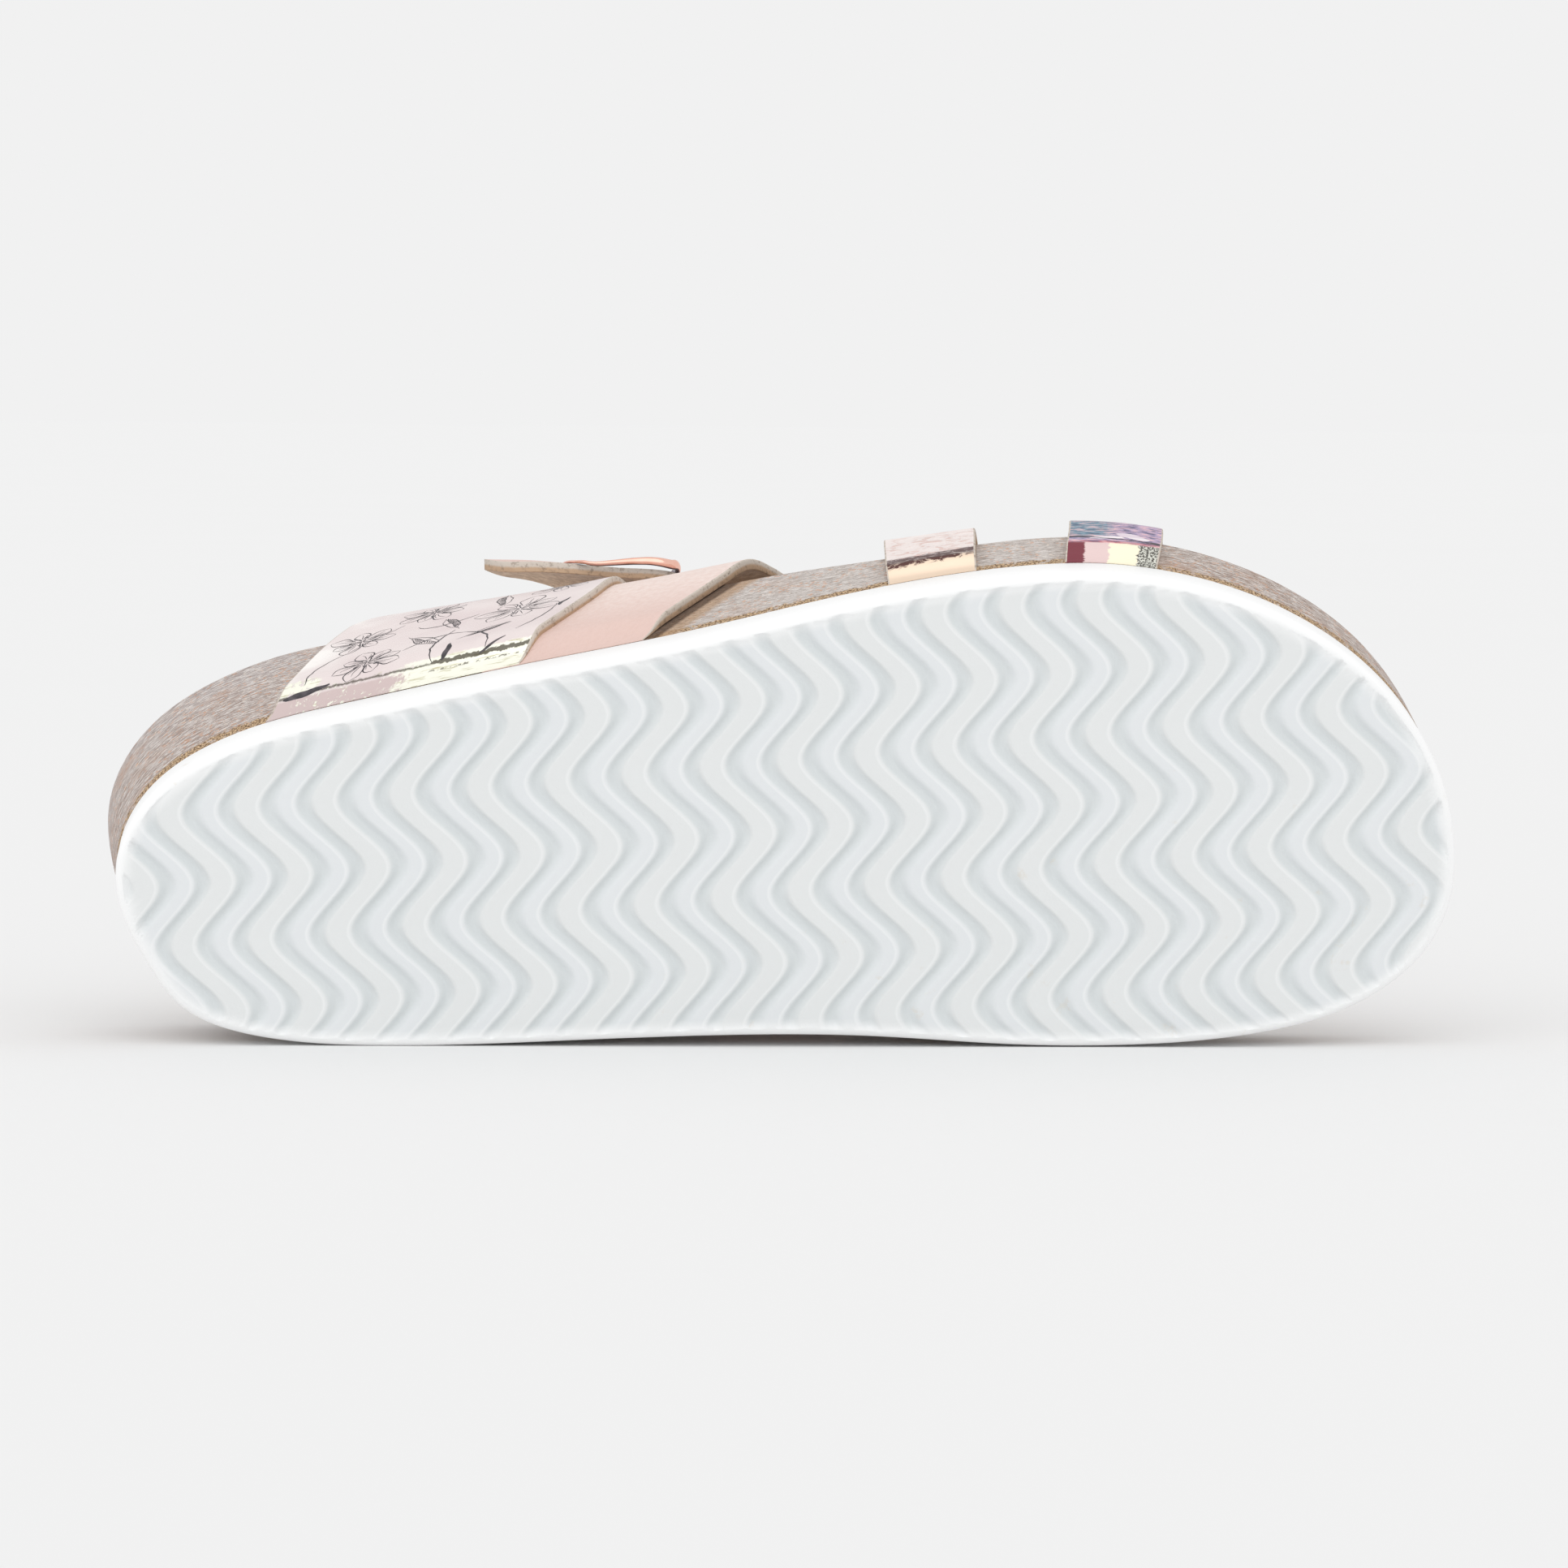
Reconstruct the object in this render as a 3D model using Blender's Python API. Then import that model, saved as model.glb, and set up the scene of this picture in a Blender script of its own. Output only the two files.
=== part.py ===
"""Cork footbed sandal for the right foot, lying on its medial side with its tread upright.

The shoe is worked out standing flat: X runs from heel to toe, Y towards the medial side, Z up
from the tread, in millimetres. An empty then lays it down on the floor, Z = 0, in metres.
"""

import math

import bmesh
import bpy
import numpy as np
from mathutils import Matrix

# Driving sizes, in millimetres
LENGTH = 257.0
BALL_WIDTH = 95.6
SOLE = 9.0
TOE_SPRING = 6.0
SPRING_FROM = 0.76
RIM_WIDTH = 4.0
RIM_ROUND = 1.6
SIDE_BULGE = 0.55
SOLE_ROUND = 1.8
ROUND_MIDDLE = 1 - math.sqrt(0.5)
GAP = 0.3
SOCK = 1.2
LEATHER = 2.2
TUCKED = 0.4
STRAP_GAP = 0.4
METAL = 1.4

# Tread: wavy grooves across the sole, in pairs that stand a little unevenly
PAIR_PITCH = 14.77
NARROW_RIB = 6.8
WAVE_PITCH = 26.13
WAVE_SWING = 8.8
WAVE_FALL = 0.525
WAVE_STRAIGHT = 0.07
LEFT_BEND = (148.8, 9.7)
GROOVE_WIDTH = 2.8
GROOVE_DEPTH = 1.5
TREAD_BORDER = 2.6
CLEAR = 0.5
BEND_ROUND = 0.095

# How finely the shoe is divided
EDGE_POINTS = 1440
STATIONS = 40
ACROSS = 8
STRAP_STEPS = 26
STRAP_ACROSS = 3

# Outline of the sole: place along the length, and half widths as shares of the ball width
OUTLINE = (
    # station, medial, lateral
    (0.020, 0.154, 0.178),
    (0.059, 0.271, 0.262),
    (0.117, 0.323, 0.318),
    (0.195, 0.353, 0.352),
    (0.312, 0.373, 0.393),
    (0.430, 0.391, 0.429),
    (0.547, 0.422, 0.475),
    (0.664, 0.471, 0.504),
    (0.742, 0.491, 0.498),
    (0.828, 0.495, 0.440),
    (0.891, 0.477, 0.351),
    (0.945, 0.423, 0.225),
    (0.980, 0.342, 0.084),
)
HEEL_TIP = -0.02
TOE_TIP = 0.175

# Rim of the footbed, above the sole, and how far it leans out, in millimetres
RIM = (
    # station, height medial, height lateral, flare medial, flare lateral
    (0.00, 31.5, 31.5, 4.2, 3.6),
    (0.16, 31.5, 33.0, 3.2, 4.5),
    (0.33, 33.0, 27.5, 2.6, 1.8),
    (0.49, 27.0, 23.0, 2.0, 1.7),
    (0.60, 19.0, 15.8, 1.4, 1.3),
    (0.80, 15.6, 15.6, 1.0, 1.9),
    (0.92, 14.0, 14.6, 0.2, 1.7),
    (1.00, 13.0, 13.0, -0.5, 0.0),
)

# Footbed inside its rim: height of its middle, and how wide the slope up to the rim is
BED = (
    # station, middle, slope medial, slope lateral
    (0.00, 19.0, 24.0, 24.0),
    (0.14, 17.0, 26.0, 24.0),
    (0.35, 18.5, 34.0, 20.0),
    (0.55, 14.5, 26.0, 12.0),
    (0.68, 12.5, 12.0, 8.0),
    (0.85, 11.0, 7.0, 7.0),
    (1.00, 11.5, 7.0, 7.0),
)

# Height of the foot over its middle, above the sole, and the power of its arch: 2 is an
# ellipse, more is squarer
INSTEP = (
    # station, crown, power
    (0.15, 78.0, 1.7),
    (0.30, 70.0, 1.7),
    (0.39, 66.0, 1.7),
    (0.48, 63.0, 2.1),
    (0.54, 57.0, 2.6),
    (0.60, 43.5, 2.6),
    (0.66, 37.0, 2.6),
    (0.74, 34.0, 2.6),
    (0.82, 31.0, 2.6),
)
SIDE_WRAP = 0.18
TUCK_WRAP = 0.054

# Straps. Wrap runs over the foot from the lateral sole edge, 0, to the medial one, 1.
# Each edge has its place along the shoe, its wrap, and its lift off the foot.
FLOWERED = (
    # rear x, rear wrap, rear lift, front x, front wrap, front lift
    (31.1, 0.00, 0.0, 80.3, 0.00, 1.9),
    (47.4, 0.18, 0.0, 97.5, 0.18, 1.7),
    (67.5, 0.27, 0.0, 103.0, 0.29, 1.7),
    (80.0, 0.43, 0.0, 112.0, 0.43, 1.9),
    (81.0, 0.55, 0.0, 116.0, 0.55, 1.9),
    (70.0, 0.68, 0.0, 106.0, 0.68, 0.0),
    (56.0, 0.82, 0.0, 92.0, 0.82, 0.0),
    (46.0, 1.00, 0.0, 85.0, 1.00, 0.0),
)
BLUSH = (
    (73.0, 0.00, 0.0, 104.2, 0.00, 0.0),
    (82.0, 0.18, 0.0, 122.5, 0.18, 0.0),
    (95.0, 0.30, 0.0, 131.0, 0.30, 0.0),
    (106.0, 0.41, 0.0, 141.0, 0.41, 0.0),
    (112.0, 0.53, 0.0, 146.0, 0.53, 0.0),
    (114.0, 0.68, 0.0, 144.0, 0.68, 0.0),
    (112.0, 0.82, 0.0, 140.0, 0.82, 0.0),
    (108.0, 1.00, 0.0, 136.0, 1.00, 0.0),
)
CLOSURE = (
    (112.0, 0.76, 1.6, 130.0, 0.76, 1.6),
    (114.0, 0.66, 3.0, 132.0, 0.64, 1.8),
    (113.0, 0.55, 3.9, 131.0, 0.52, 2.0),
    (108.0, 0.445, 4.0, 126.0, 0.405, 2.6),
    (101.0, 0.375, 6.4, 113.0, 0.310, 4.0),
    (92.5, 0.358, 11.5, 100.0, 0.290, 6.3),
    (82.5, 0.350, 15.8, 86.5, 0.275, 8.2),
    (72.4, 0.340, 16.9, 74.3, 0.270, 9.3),
)
REAR_TOE = (
    (151.5, 0.00, 0.0, 168.5, 0.00, 0.0),
    (152.3, 0.18, 0.0, 169.9, 0.18, 0.0),
    (153.0, 0.35, 0.0, 171.0, 0.35, 0.0),
    (151.0, 0.50, 0.0, 169.5, 0.50, 0.0),
    (148.0, 0.65, 0.0, 166.0, 0.65, 0.0),
    (146.0, 0.82, 0.0, 163.5, 0.82, 0.0),
    (145.0, 1.00, 0.0, 162.0, 1.00, 0.0),
)
FRONT_TOE = (
    (185.4, 0.00, 0.0, 202.9, 0.00, 0.0),
    (187.8, 0.18, 0.0, 205.4, 0.18, 0.0),
    (189.0, 0.35, 0.0, 206.3, 0.35, 0.0),
    (186.0, 0.50, 0.0, 204.5, 0.50, 0.0),
    (180.0, 0.65, 0.0, 198.0, 0.65, 0.0),
    (175.0, 0.82, 0.0, 192.5, 0.82, 0.0),
    (172.5, 1.00, 0.0, 190.0, 1.00, 0.0),
)

# Buckle: where its frame lies along the closure strap, 0 at the sewn end and 1 at the tip
BUCKLE_FROM = 0.56
BUCKLE_TO = 0.80
BUCKLE_OVERHANG = 0.12
BUCKLE_STEPS = 40
BUCKLE_CORNER = 0.45
# Its long bars run beside the strap, this far above its face at both ends, and arch up between
# them. They rise over the strap within the given share of the half width.
BUCKLE_LOW = -0.25
BUCKLE_ARCH = 2.0
BUCKLE_SKEW = 1.3
BUCKLE_CLIMB = 0.12
DENSE = 200

MATERIALS = {
    # node: (base colour, roughness, metallic)
    "outsole": ((0.88, 0.90, 0.90), 0.55, 0.0),
    "footbed": ((0.38, 0.30, 0.25), 0.85, 0.0),
    "insole": ((0.52, 0.38, 0.27), 0.95, 0.0),
    "upper": ((0.80, 0.64, 0.58), 0.55, 0.0),
    "toe_strap_rear": ((0.86, 0.60, 0.50), 0.25, 0.8),
    "toe_strap_front": ((0.42, 0.30, 0.42), 0.40, 0.1),
    "buckle": ((0.82, 0.50, 0.42), 0.20, 1.0),
}


def column(table, index, station):
    """One column of a table, read between its rows at the given places along the length."""
    rows = np.array(table)
    return np.interp(station, rows[:, 0], rows[:, index])


def closed_spline(points, samples):
    """The periodic cubic curve through the points, by chord length."""
    points = np.array(points, float)
    count = len(points)
    ahead = np.roll(points, -1, axis=0)
    chord = np.linalg.norm(ahead - points, axis=1)
    behind = np.roll(chord, 1)
    slope = (ahead - points) / chord[:, None]
    system = np.diag(2 * (chord + behind))
    for i in range(count):
        system[i, i - 1] += behind[i]
        system[i, (i + 1) % count] += chord[i]
    bend = np.linalg.solve(system, 6 * (slope - np.roll(slope, 1, axis=0)))
    knots = np.concatenate([[0], np.cumsum(chord)])
    place = np.linspace(0, knots[-1], samples, endpoint=False)
    i = np.clip(np.searchsorted(knots, place, side="right") - 1, 0, count - 1)
    j = (i + 1) % count
    h = chord[i][:, None]
    b = (place - knots[i])[:, None] / h
    a = 1 - b
    sag = ((a**3 - a) * bend[i] + (b**3 - b) * bend[j]) * h**2 / 6
    return a * points[i] + b * points[j] + sag


def smooth_rows(table, count):
    """The rows of a table as a Catmull-Rom curve, read at count even places from first to last."""
    rows = np.array(table, float)
    rows = np.vstack([2 * rows[0] - rows[1], rows, 2 * rows[-1] - rows[-2]])
    place = np.linspace(0, len(rows) - 3, count)
    i = np.minimum(place.astype(int), len(rows) - 4)
    t = (place - i)[:, None]
    p0, p1, p2, p3 = (rows[i + k] for k in range(4))
    return 0.5 * (
        2 * p1
        + (p2 - p0) * t
        + (2 * p0 - 5 * p1 + 4 * p2 - p3) * t**2
        + (3 * p1 - p0 - 3 * p2 + p3) * t**3
    )


def smoothstep(value):
    value = np.clip(value, 0, 1)
    return value * value * (3 - 2 * value)


def sole_sides():
    """Dense points of the medial and of the lateral edge of the sole, each from heel to toe."""
    scale = np.array([LENGTH, BALL_WIDTH])
    medial = [(s, m) for s, m, _ in OUTLINE]
    lateral = [(s, -l) for s, _, l in OUTLINE]
    points = [(0.0, HEEL_TIP), *medial, (1.0, TOE_TIP), *lateral[::-1]]
    curve = closed_spline(points, EDGE_POINTS) * scale
    curve[:, 0] = (curve[:, 0] - curve[:, 0].min()) * LENGTH / np.ptp(curve[:, 0])
    heel, toe = curve[:, 0].argmin(), curve[:, 0].argmax()
    curve = np.roll(curve, -heel, axis=0)
    toe = (toe - heel) % len(curve)
    return curve[: toe + 1], np.vstack([curve[toe:], curve[:1]])[::-1]


MEDIAL_SIDE, LATERAL_SIDE = sole_sides()


def side_y(x, side):
    return np.interp(x, side[:, 0], side[:, 1])


def rim_ring():
    """Points round the sole: heel tip, medial side, toe tip, lateral side, with outward normals.

    Both sides share their stations, set closer together towards the tips, as a circle's are.
    """
    turn = np.linspace(0, math.pi, STATIONS + 1)
    x = LENGTH * (1 - np.cos(turn)) / 2
    medial = np.column_stack([x, side_y(x, MEDIAL_SIDE)])
    lateral = np.column_stack([x, side_y(x, LATERAL_SIDE)])
    ring = np.vstack([medial, lateral[-2:0:-1]])
    along = np.roll(ring, -1, axis=0) - np.roll(ring, 1, axis=0)
    normal = np.column_stack([-along[:, 1], along[:, 0]])
    return ring, normal / np.linalg.norm(normal, axis=1)[:, None]


RING, NORMAL = rim_ring()


def by_side(table, medial, lateral, x, y):
    """Columns for the two sides of a table, blended across the width of the sole."""
    station = np.clip(x / LENGTH, 0, 1)
    share = smoothstep(0.5 + y / (BALL_WIDTH / 2))
    return (
        share * column(table, medial, station) + (1 - share) * column(table, lateral, station)
    )


def offset_ring(distance):
    return RING + NORMAL * np.reshape(distance, (-1, 1))


def chords(ring):
    """Places across the shoe between the two sides of a ring, a row for each inner station."""
    share = 0.5 - 0.5 * np.cos(np.linspace(0, math.pi, ACROSS + 1))[1:-1]
    lateral = ring[: STATIONS : -1]
    medial = ring[1:STATIONS]
    return lateral[:, None] + (medial - lateral)[:, None] * share[None, :, None]


def cap_faces(first_ring, first_inner, up):
    """Faces that close a ring with the chords between its two sides, and a fan at each tip."""
    count = 2 * STATIONS

    def row(k):
        inner = [first_inner + (k - 1) * (ACROSS - 1) + i for i in range(ACROSS - 1)]
        return [first_ring + count - k, *inner, first_ring + k]

    faces = []
    for k in range(1, STATIONS - 1):
        a, b = row(k), row(k + 1)
        faces += [(a[i], b[i], b[i + 1]) for i in range(ACROSS)]
        faces += [(a[i], b[i + 1], a[i + 1]) for i in range(ACROSS)]
    heel, toe = row(1), row(STATIONS - 1)
    faces += [(first_ring, heel[i], heel[i + 1]) for i in range(ACROSS)]
    faces += [(toe[i], first_ring + STATIONS, toe[i + 1]) for i in range(ACROSS)]
    return faces if up else [face[::-1] for face in faces]


def new_object(name, points, faces):
    """A mesh object from points in millimetres, with all its faces turned outwards."""
    mesh = bpy.data.meshes.new(name)
    mesh.from_pydata((np.array(points) * 0.001).tolist(), [], faces)
    work = bmesh.new()
    work.from_mesh(mesh)
    bmesh.ops.recalc_face_normals(work, faces=work.faces)
    work.to_mesh(mesh)
    work.free()
    return bpy.data.objects.new(name, mesh)


def layered_solid(name, rings, bottom, top):
    """A solid with the rings as its side, closed by chords below and above.

    bottom and top give the height at places across the first and last ring, or None for a
    bottom that is one flat face.
    """
    count = 2 * STATIONS
    points = [np.array(rings).reshape(-1, 3)]
    faces = []
    for layer in range(len(rings) - 1):
        for i in range(count):
            j = (i + 1) % count
            low, high = layer * count, (layer + 1) * count
            faces.append((low + j, low + i, high + i, high + j))
    last = (len(rings) - 1) * count
    filled = len(rings) * count
    for ring, first, height, up in ((rings[0], 0, bottom, False), (rings[-1], last, top, True)):
        if height is None:
            faces.append(tuple(range(count)))
            continue
        inner = chords(ring[:, :2]).reshape(-1, 2)
        points.append(np.column_stack([inner, height(inner, ring)]))
        faces += cap_faces(first, filled, up)
        filled += len(inner)
    return new_object(name, np.vstack(points), faces)


def level(height):
    return lambda inner, ring: np.full(len(inner), height)


def ring_at(distance, height):
    flat = offset_ring(np.broadcast_to(distance, (len(RING),)))
    return np.column_stack([flat, np.broadcast_to(height, (len(RING),))])


def tread_wave(y):
    """How far a groove swings towards the toe: a zigzag with rounded bends and uneven halves."""
    phase = ((y - LEFT_BEND[1]) / WAVE_PITCH) % 1
    even = np.where(
        phase < WAVE_FALL, phase / WAVE_FALL / 2, 0.5 + (phase - WAVE_FALL) / (1 - WAVE_FALL) / 2
    )
    turn = 2 * math.pi * even
    straight = WAVE_STRAIGHT * (np.cos(turn) - np.cos(3 * turn))
    return WAVE_SWING / 2 * (1 - np.cos(turn) + straight)


def groove_cutters(floor):
    """One bent wedge for each groove, cut off inside the border of the tread by the floor prism."""
    waves = np.arange(-3, 3)[:, None]
    bends = np.array([[0.0], [WAVE_FALL]]) + np.array([[-BEND_ROUND, 0.0, BEND_ROUND]])
    y = LEFT_BEND[1] + WAVE_PITCH * (waves + bends.ravel()[None, :]).ravel()
    mouth = GROOVE_WIDTH / 2 * (1 + CLEAR / GROOVE_DEPTH)
    points, faces = [], []
    pairs = int(LENGTH / PAIR_PITCH) + 2
    first = LEFT_BEND[0] - PAIR_PITCH * math.ceil(LEFT_BEND[0] / PAIR_PITCH) - PAIR_PITCH
    for start in (first + PAIR_PITCH * i for i in range(pairs + 1)):
        for x0 in (start, start + NARROW_RIB):
            middle = x0 + tread_wave(y)
            base = len(points) * len(y)
            points.append(np.column_stack([middle - mouth, y, np.full(len(y), -CLEAR)]))
            points.append(np.column_stack([middle, y, np.full(len(y), GROOVE_DEPTH)]))
            points.append(np.column_stack([middle + mouth, y, np.full(len(y), -CLEAR)]))
            lines = [base + k * len(y) for k in range(3)]
            for a, b in zip(lines, lines[1:] + lines[:1]):
                faces += [(a + i, a + i + 1, b + i + 1, b + i) for i in range(len(y) - 1)]
            faces.append(tuple(lines))
            faces.append(tuple(line + len(y) - 1 for line in lines[::-1]))
    cutter = new_object("tread_grooves", np.vstack(points), faces)
    boolean(cutter, floor, "INTERSECT")
    return cutter


def boolean(target, other, operation, solver="EXACT"):
    modifier = target.modifiers.new(operation.lower(), "BOOLEAN")
    modifier.operation = operation
    modifier.solver = solver
    modifier.object = other


def make_outsole(cutters):
    """Moulded white foam sole: flat tread with wavy grooves, rounded lower edge."""
    rings = [
        ring_at(-SOLE_ROUND, 0.0),
        ring_at(-SOLE_ROUND * ROUND_MIDDLE, SOLE_ROUND * ROUND_MIDDLE),
        ring_at(0.0, SOLE_ROUND),
        ring_at(0.0, SOLE),
    ]
    outsole = layered_solid("outsole", rings, None, level(SOLE))
    low, high = -2 * CLEAR, GROOVE_DEPTH + 2 * CLEAR
    prism = [ring_at(-TREAD_BORDER, low), ring_at(-TREAD_BORDER, high)]
    floor = layered_solid("tread_floor", prism, None, level(high))
    grooves = groove_cutters(floor)
    cutters += [floor, grooves]
    boolean(outsole, grooves, "DIFFERENCE", "MANIFOLD")
    return outsole


def rim_height(x, y):
    return by_side(RIM, 1, 2, x, y)


def rim_flare(x, y):
    return by_side(RIM, 3, 4, x, y)


def bed_height(inner, ring):
    """Top of the footbed above the sole: a cup in the heel, an arch, and a low raised edge."""
    x, y = inner[:, 0], inner[:, 1]
    away = np.linalg.norm(inner[:, None] - ring[None, :, :2], axis=2).min(axis=1)
    slope = by_side(BED, 2, 3, x, y)
    middle = column(BED, 1, np.clip(x / LENGTH, 0, 1))
    climb = np.clip(1 - away / slope, 0, 1) ** 2
    return SOLE + middle + (rim_height(x, y) - RIM_ROUND / 2 - middle) * climb


def make_footbed():
    """Pressed cork footbed, with its side leaning out and its rim rounded."""
    x, y = RING.T
    high, flare = rim_height(x, y), rim_flare(x, y)
    low = SOLE + GAP
    rings = [
        ring_at(-GAP, low),
        ring_at(flare * SIDE_BULGE, SOLE + high / 2),
        ring_at(flare, SOLE + high - RIM_ROUND),
        ring_at(flare - RIM_ROUND, SOLE + high),
        ring_at(flare - RIM_WIDTH, SOLE + high - RIM_ROUND / 2),
    ]
    return layered_solid("footbed", rings, level(low), bed_height)


def make_insole():
    """Suede sock that lines the whole footbed inside its rim."""
    x, y = RING.T
    edge = SOLE + rim_height(x, y) - RIM_ROUND / 2
    plan = rim_flare(x, y) - RIM_WIDTH
    rings = [ring_at(plan, edge + GAP), ring_at(plan, edge + GAP + SOCK)]

    def under(inner, ring):
        return bed_height(inner, ring) + GAP

    def over(inner, ring):
        return bed_height(inner, ring) + GAP + SOCK

    return layered_solid("insole", rings, under, over)


def foot(x, wrap):
    """Point of the foot's form, which the straps lie on.

    Up to SIDE_WRAP from each sole edge it is the side of the footbed, and between the rims a
    superellipse over the instep.
    """
    lateral, medial = side_y(x, LATERAL_SIDE), side_y(x, MEDIAL_SIDE)
    station = x / LENGTH
    middle = (lateral + medial) / 2
    share = np.clip((wrap - SIDE_WRAP) / (1 - 2 * SIDE_WRAP), 0, 1)
    up = np.clip(np.minimum(wrap, 1 - wrap) / SIDE_WRAP, 0, 1)
    blend = smoothstep(share)
    high = (1 - blend) * column(RIM, 2, station) + blend * column(RIM, 1, station)
    flare = (1 - blend) * column(RIM, 4, station) + blend * column(RIM, 3, station)
    half = (medial - lateral) / 2 + flare * up
    turn = math.pi * share
    sideways = -np.sign(np.cos(turn)) * np.abs(np.cos(turn)) ** (2 / column(INSTEP, 2, station))
    rise = np.sin(turn)
    crown = column(INSTEP, 1, station)
    z = SOLE + GAP + (high - GAP) * up + (crown - high) * rise
    return np.stack([x, middle + half * sideways, z], axis=-1)


def over_foot(x, wrap, lift):
    """Point that stands the given lift off the foot's form, along its normal."""
    step, step_wrap = 0.5, 0.004
    inside = np.clip(wrap, step_wrap, 1 - step_wrap)
    along = foot(x + step, wrap) - foot(x - step, wrap)
    round_foot = foot(x, inside + step_wrap) - foot(x, inside - step_wrap)
    normal = np.cross(along, round_foot)
    normal /= np.linalg.norm(normal, axis=-1)[..., None]
    return foot(x, wrap) + normal * lift[..., None]


def strap_grid(table, steps, across, lift):
    """Points of one face of a strap: a row for each step along it, from its rear to its front edge."""
    rows = smooth_rows(table, steps)
    share = np.linspace(0, 1, across + 1)[None, :]
    rear_x, rear_wrap, rear_lift, front_x, front_wrap, front_lift = rows.T[:, :, None]
    x = rear_x + (front_x - rear_x) * share
    wrap = np.clip(rear_wrap + (front_wrap - rear_wrap) * share, 0, 1)
    raised = rear_lift + (front_lift - rear_lift) * share
    free = smoothstep(np.minimum(wrap, 1 - wrap) / TUCK_WRAP)
    return over_foot(x, wrap, (raised + lift) * (TUCKED + (1 - TUCKED) * free))


def strap_solid(name, table, steps=STRAP_STEPS, across=STRAP_ACROSS):
    """A strap of even leather, as its inner and outer face and the cut edge between them."""
    inner = strap_grid(table, steps, across, STRAP_GAP)
    outer = strap_grid(table, steps, across, STRAP_GAP + LEATHER)
    wide = across + 1
    count = steps * wide
    faces = []
    for i in range(steps - 1):
        for j in range(across):
            a = i * wide + j
            faces.append((a, a + wide, a + wide + 1, a + 1))
            faces.append(tuple(count + k for k in (a + 1, a + wide + 1, a + wide, a)))
    border = [i * wide for i in range(steps)]
    border += [(steps - 1) * wide + j for j in range(1, wide)]
    border += [i * wide + across for i in range(steps - 2, -1, -1)]
    border += list(range(across - 1, 0, -1))
    for a, b in zip(border, border[1:] + border[:1]):
        faces.append((a, b, count + b, count + a))
    points = np.vstack([inner.reshape(-1, 3), outer.reshape(-1, 3)])
    return new_object(name, points, faces)


def make_upper(cutters):
    """Instep straps, joined where they cross: flowered strap, blush strap and closure strap."""
    upper = strap_solid("upper", FLOWERED)
    for name, table in (("blush_strap", BLUSH), ("closure_strap", CLOSURE)):
        other = strap_solid(name, table)
        boolean(upper, other, "UNION")
        cutters.append(other)
    return upper


def make_buckle():
    """Metal frame that lies round the closure strap, a tube along a rounded rectangle."""
    turn = np.linspace(0, 2 * math.pi, BUCKLE_STEPS, endpoint=False)
    along = np.sign(np.cos(turn)) * np.abs(np.cos(turn)) ** BUCKLE_CORNER
    sideways = np.sign(np.sin(turn)) * np.abs(np.sin(turn)) ** BUCKLE_CORNER
    place = (BUCKLE_FROM + BUCKLE_TO) / 2 + along * (BUCKLE_TO - BUCKLE_FROM) / 2
    share = 0.5 + sideways * (0.5 + BUCKLE_OVERHANG)
    dense = smooth_rows(CLOSURE, DENSE)
    strap = np.linspace(0, 1, DENSE)
    rear_x, rear_wrap, rear_lift, front_x, front_wrap, front_lift = (
        np.interp(place, strap, dense[:, k]) for k in range(6)
    )
    x = rear_x + (front_x - rear_x) * share
    wrap = rear_wrap + (front_wrap - rear_wrap) * share
    raised = rear_lift + (front_lift - rear_lift) * share
    lean = np.clip((BUCKLE_TO - place) / (BUCKLE_TO - BUCKLE_FROM), 0, 1)
    proud = BUCKLE_LOW + BUCKLE_ARCH * np.sin(math.pi * lean**BUCKLE_SKEW)
    over = np.maximum(proud, GAP + METAL / 2)
    proud += (over - proud) * smoothstep((1 - np.abs(sideways)) / BUCKLE_CLIMB)
    path = over_foot(x, wrap, raised + STRAP_GAP + LEATHER + proud)
    curve = bpy.data.curves.new("buckle_path", "CURVE")
    curve.dimensions = "3D"
    curve.bevel_depth = METAL / 2 * 0.001
    curve.bevel_resolution = 1
    spline = curve.splines.new("POLY")
    spline.points.add(len(path) - 1)
    spline.use_cyclic_u = True
    for point, place in zip(spline.points, path):
        point.co = (*(place * 0.001), 1)
    guide = bpy.data.objects.new("buckle_path", curve)
    bpy.context.scene.collection.objects.link(guide)
    graph = bpy.context.evaluated_depsgraph_get()
    mesh = bpy.data.meshes.new_from_object(guide.evaluated_get(graph))
    bpy.data.objects.remove(guide)
    return bpy.data.objects.new("buckle", mesh)


def flatten(obj):
    """The object's mesh with its modifiers applied, so that it can be bent."""
    graph = bpy.context.evaluated_depsgraph_get()
    mesh = bpy.data.meshes.new_from_object(obj.evaluated_get(graph))
    obj.modifiers.clear()
    obj.data = mesh


def points_of(obj):
    flat = np.empty(len(obj.data.vertices) * 3)
    obj.data.vertices.foreach_get("co", flat)
    return flat.reshape(-1, 3)


def bend_toe(obj):
    """Raises the toe: the whole section of the shoe lifts by a parabola from SPRING_FROM on."""
    points = points_of(obj)
    start = LENGTH * SPRING_FROM * 0.001
    share = np.clip((points[:, 0] - start) / (LENGTH * 0.001 - start), 0, None)
    points[:, 2] += TOE_SPRING * 0.001 * share**2
    obj.data.vertices.foreach_set("co", points.ravel())
    obj.data.update()


def resting_turn(points, centre):
    """The turn that lays the shoe on its medial side, on three points round the centre's foot.

    The medial side first faces straight down. While the centre stands outside the points that
    touch, the shoe rolls about the touching edge until the next point touches.
    """
    side = Matrix.Rotation(-math.pi / 2, 3, "X")
    turn = np.array(side)
    for _ in range(40):
        now = points @ turn.T
        lowest = now[now[:, 2].argmin()]
        foot_of_centre = (turn @ centre)[:2]
        away = foot_of_centre - lowest[:2]
        touching = now[:, 2] < lowest[2] + 2e-6
        axis, angle = next_roll(now, touching, lowest, foot_of_centre, away)
        if angle is None:
            return turn
        turn = np.array(Matrix.Rotation(angle, 3, tuple(axis))) @ turn
    return turn


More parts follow.
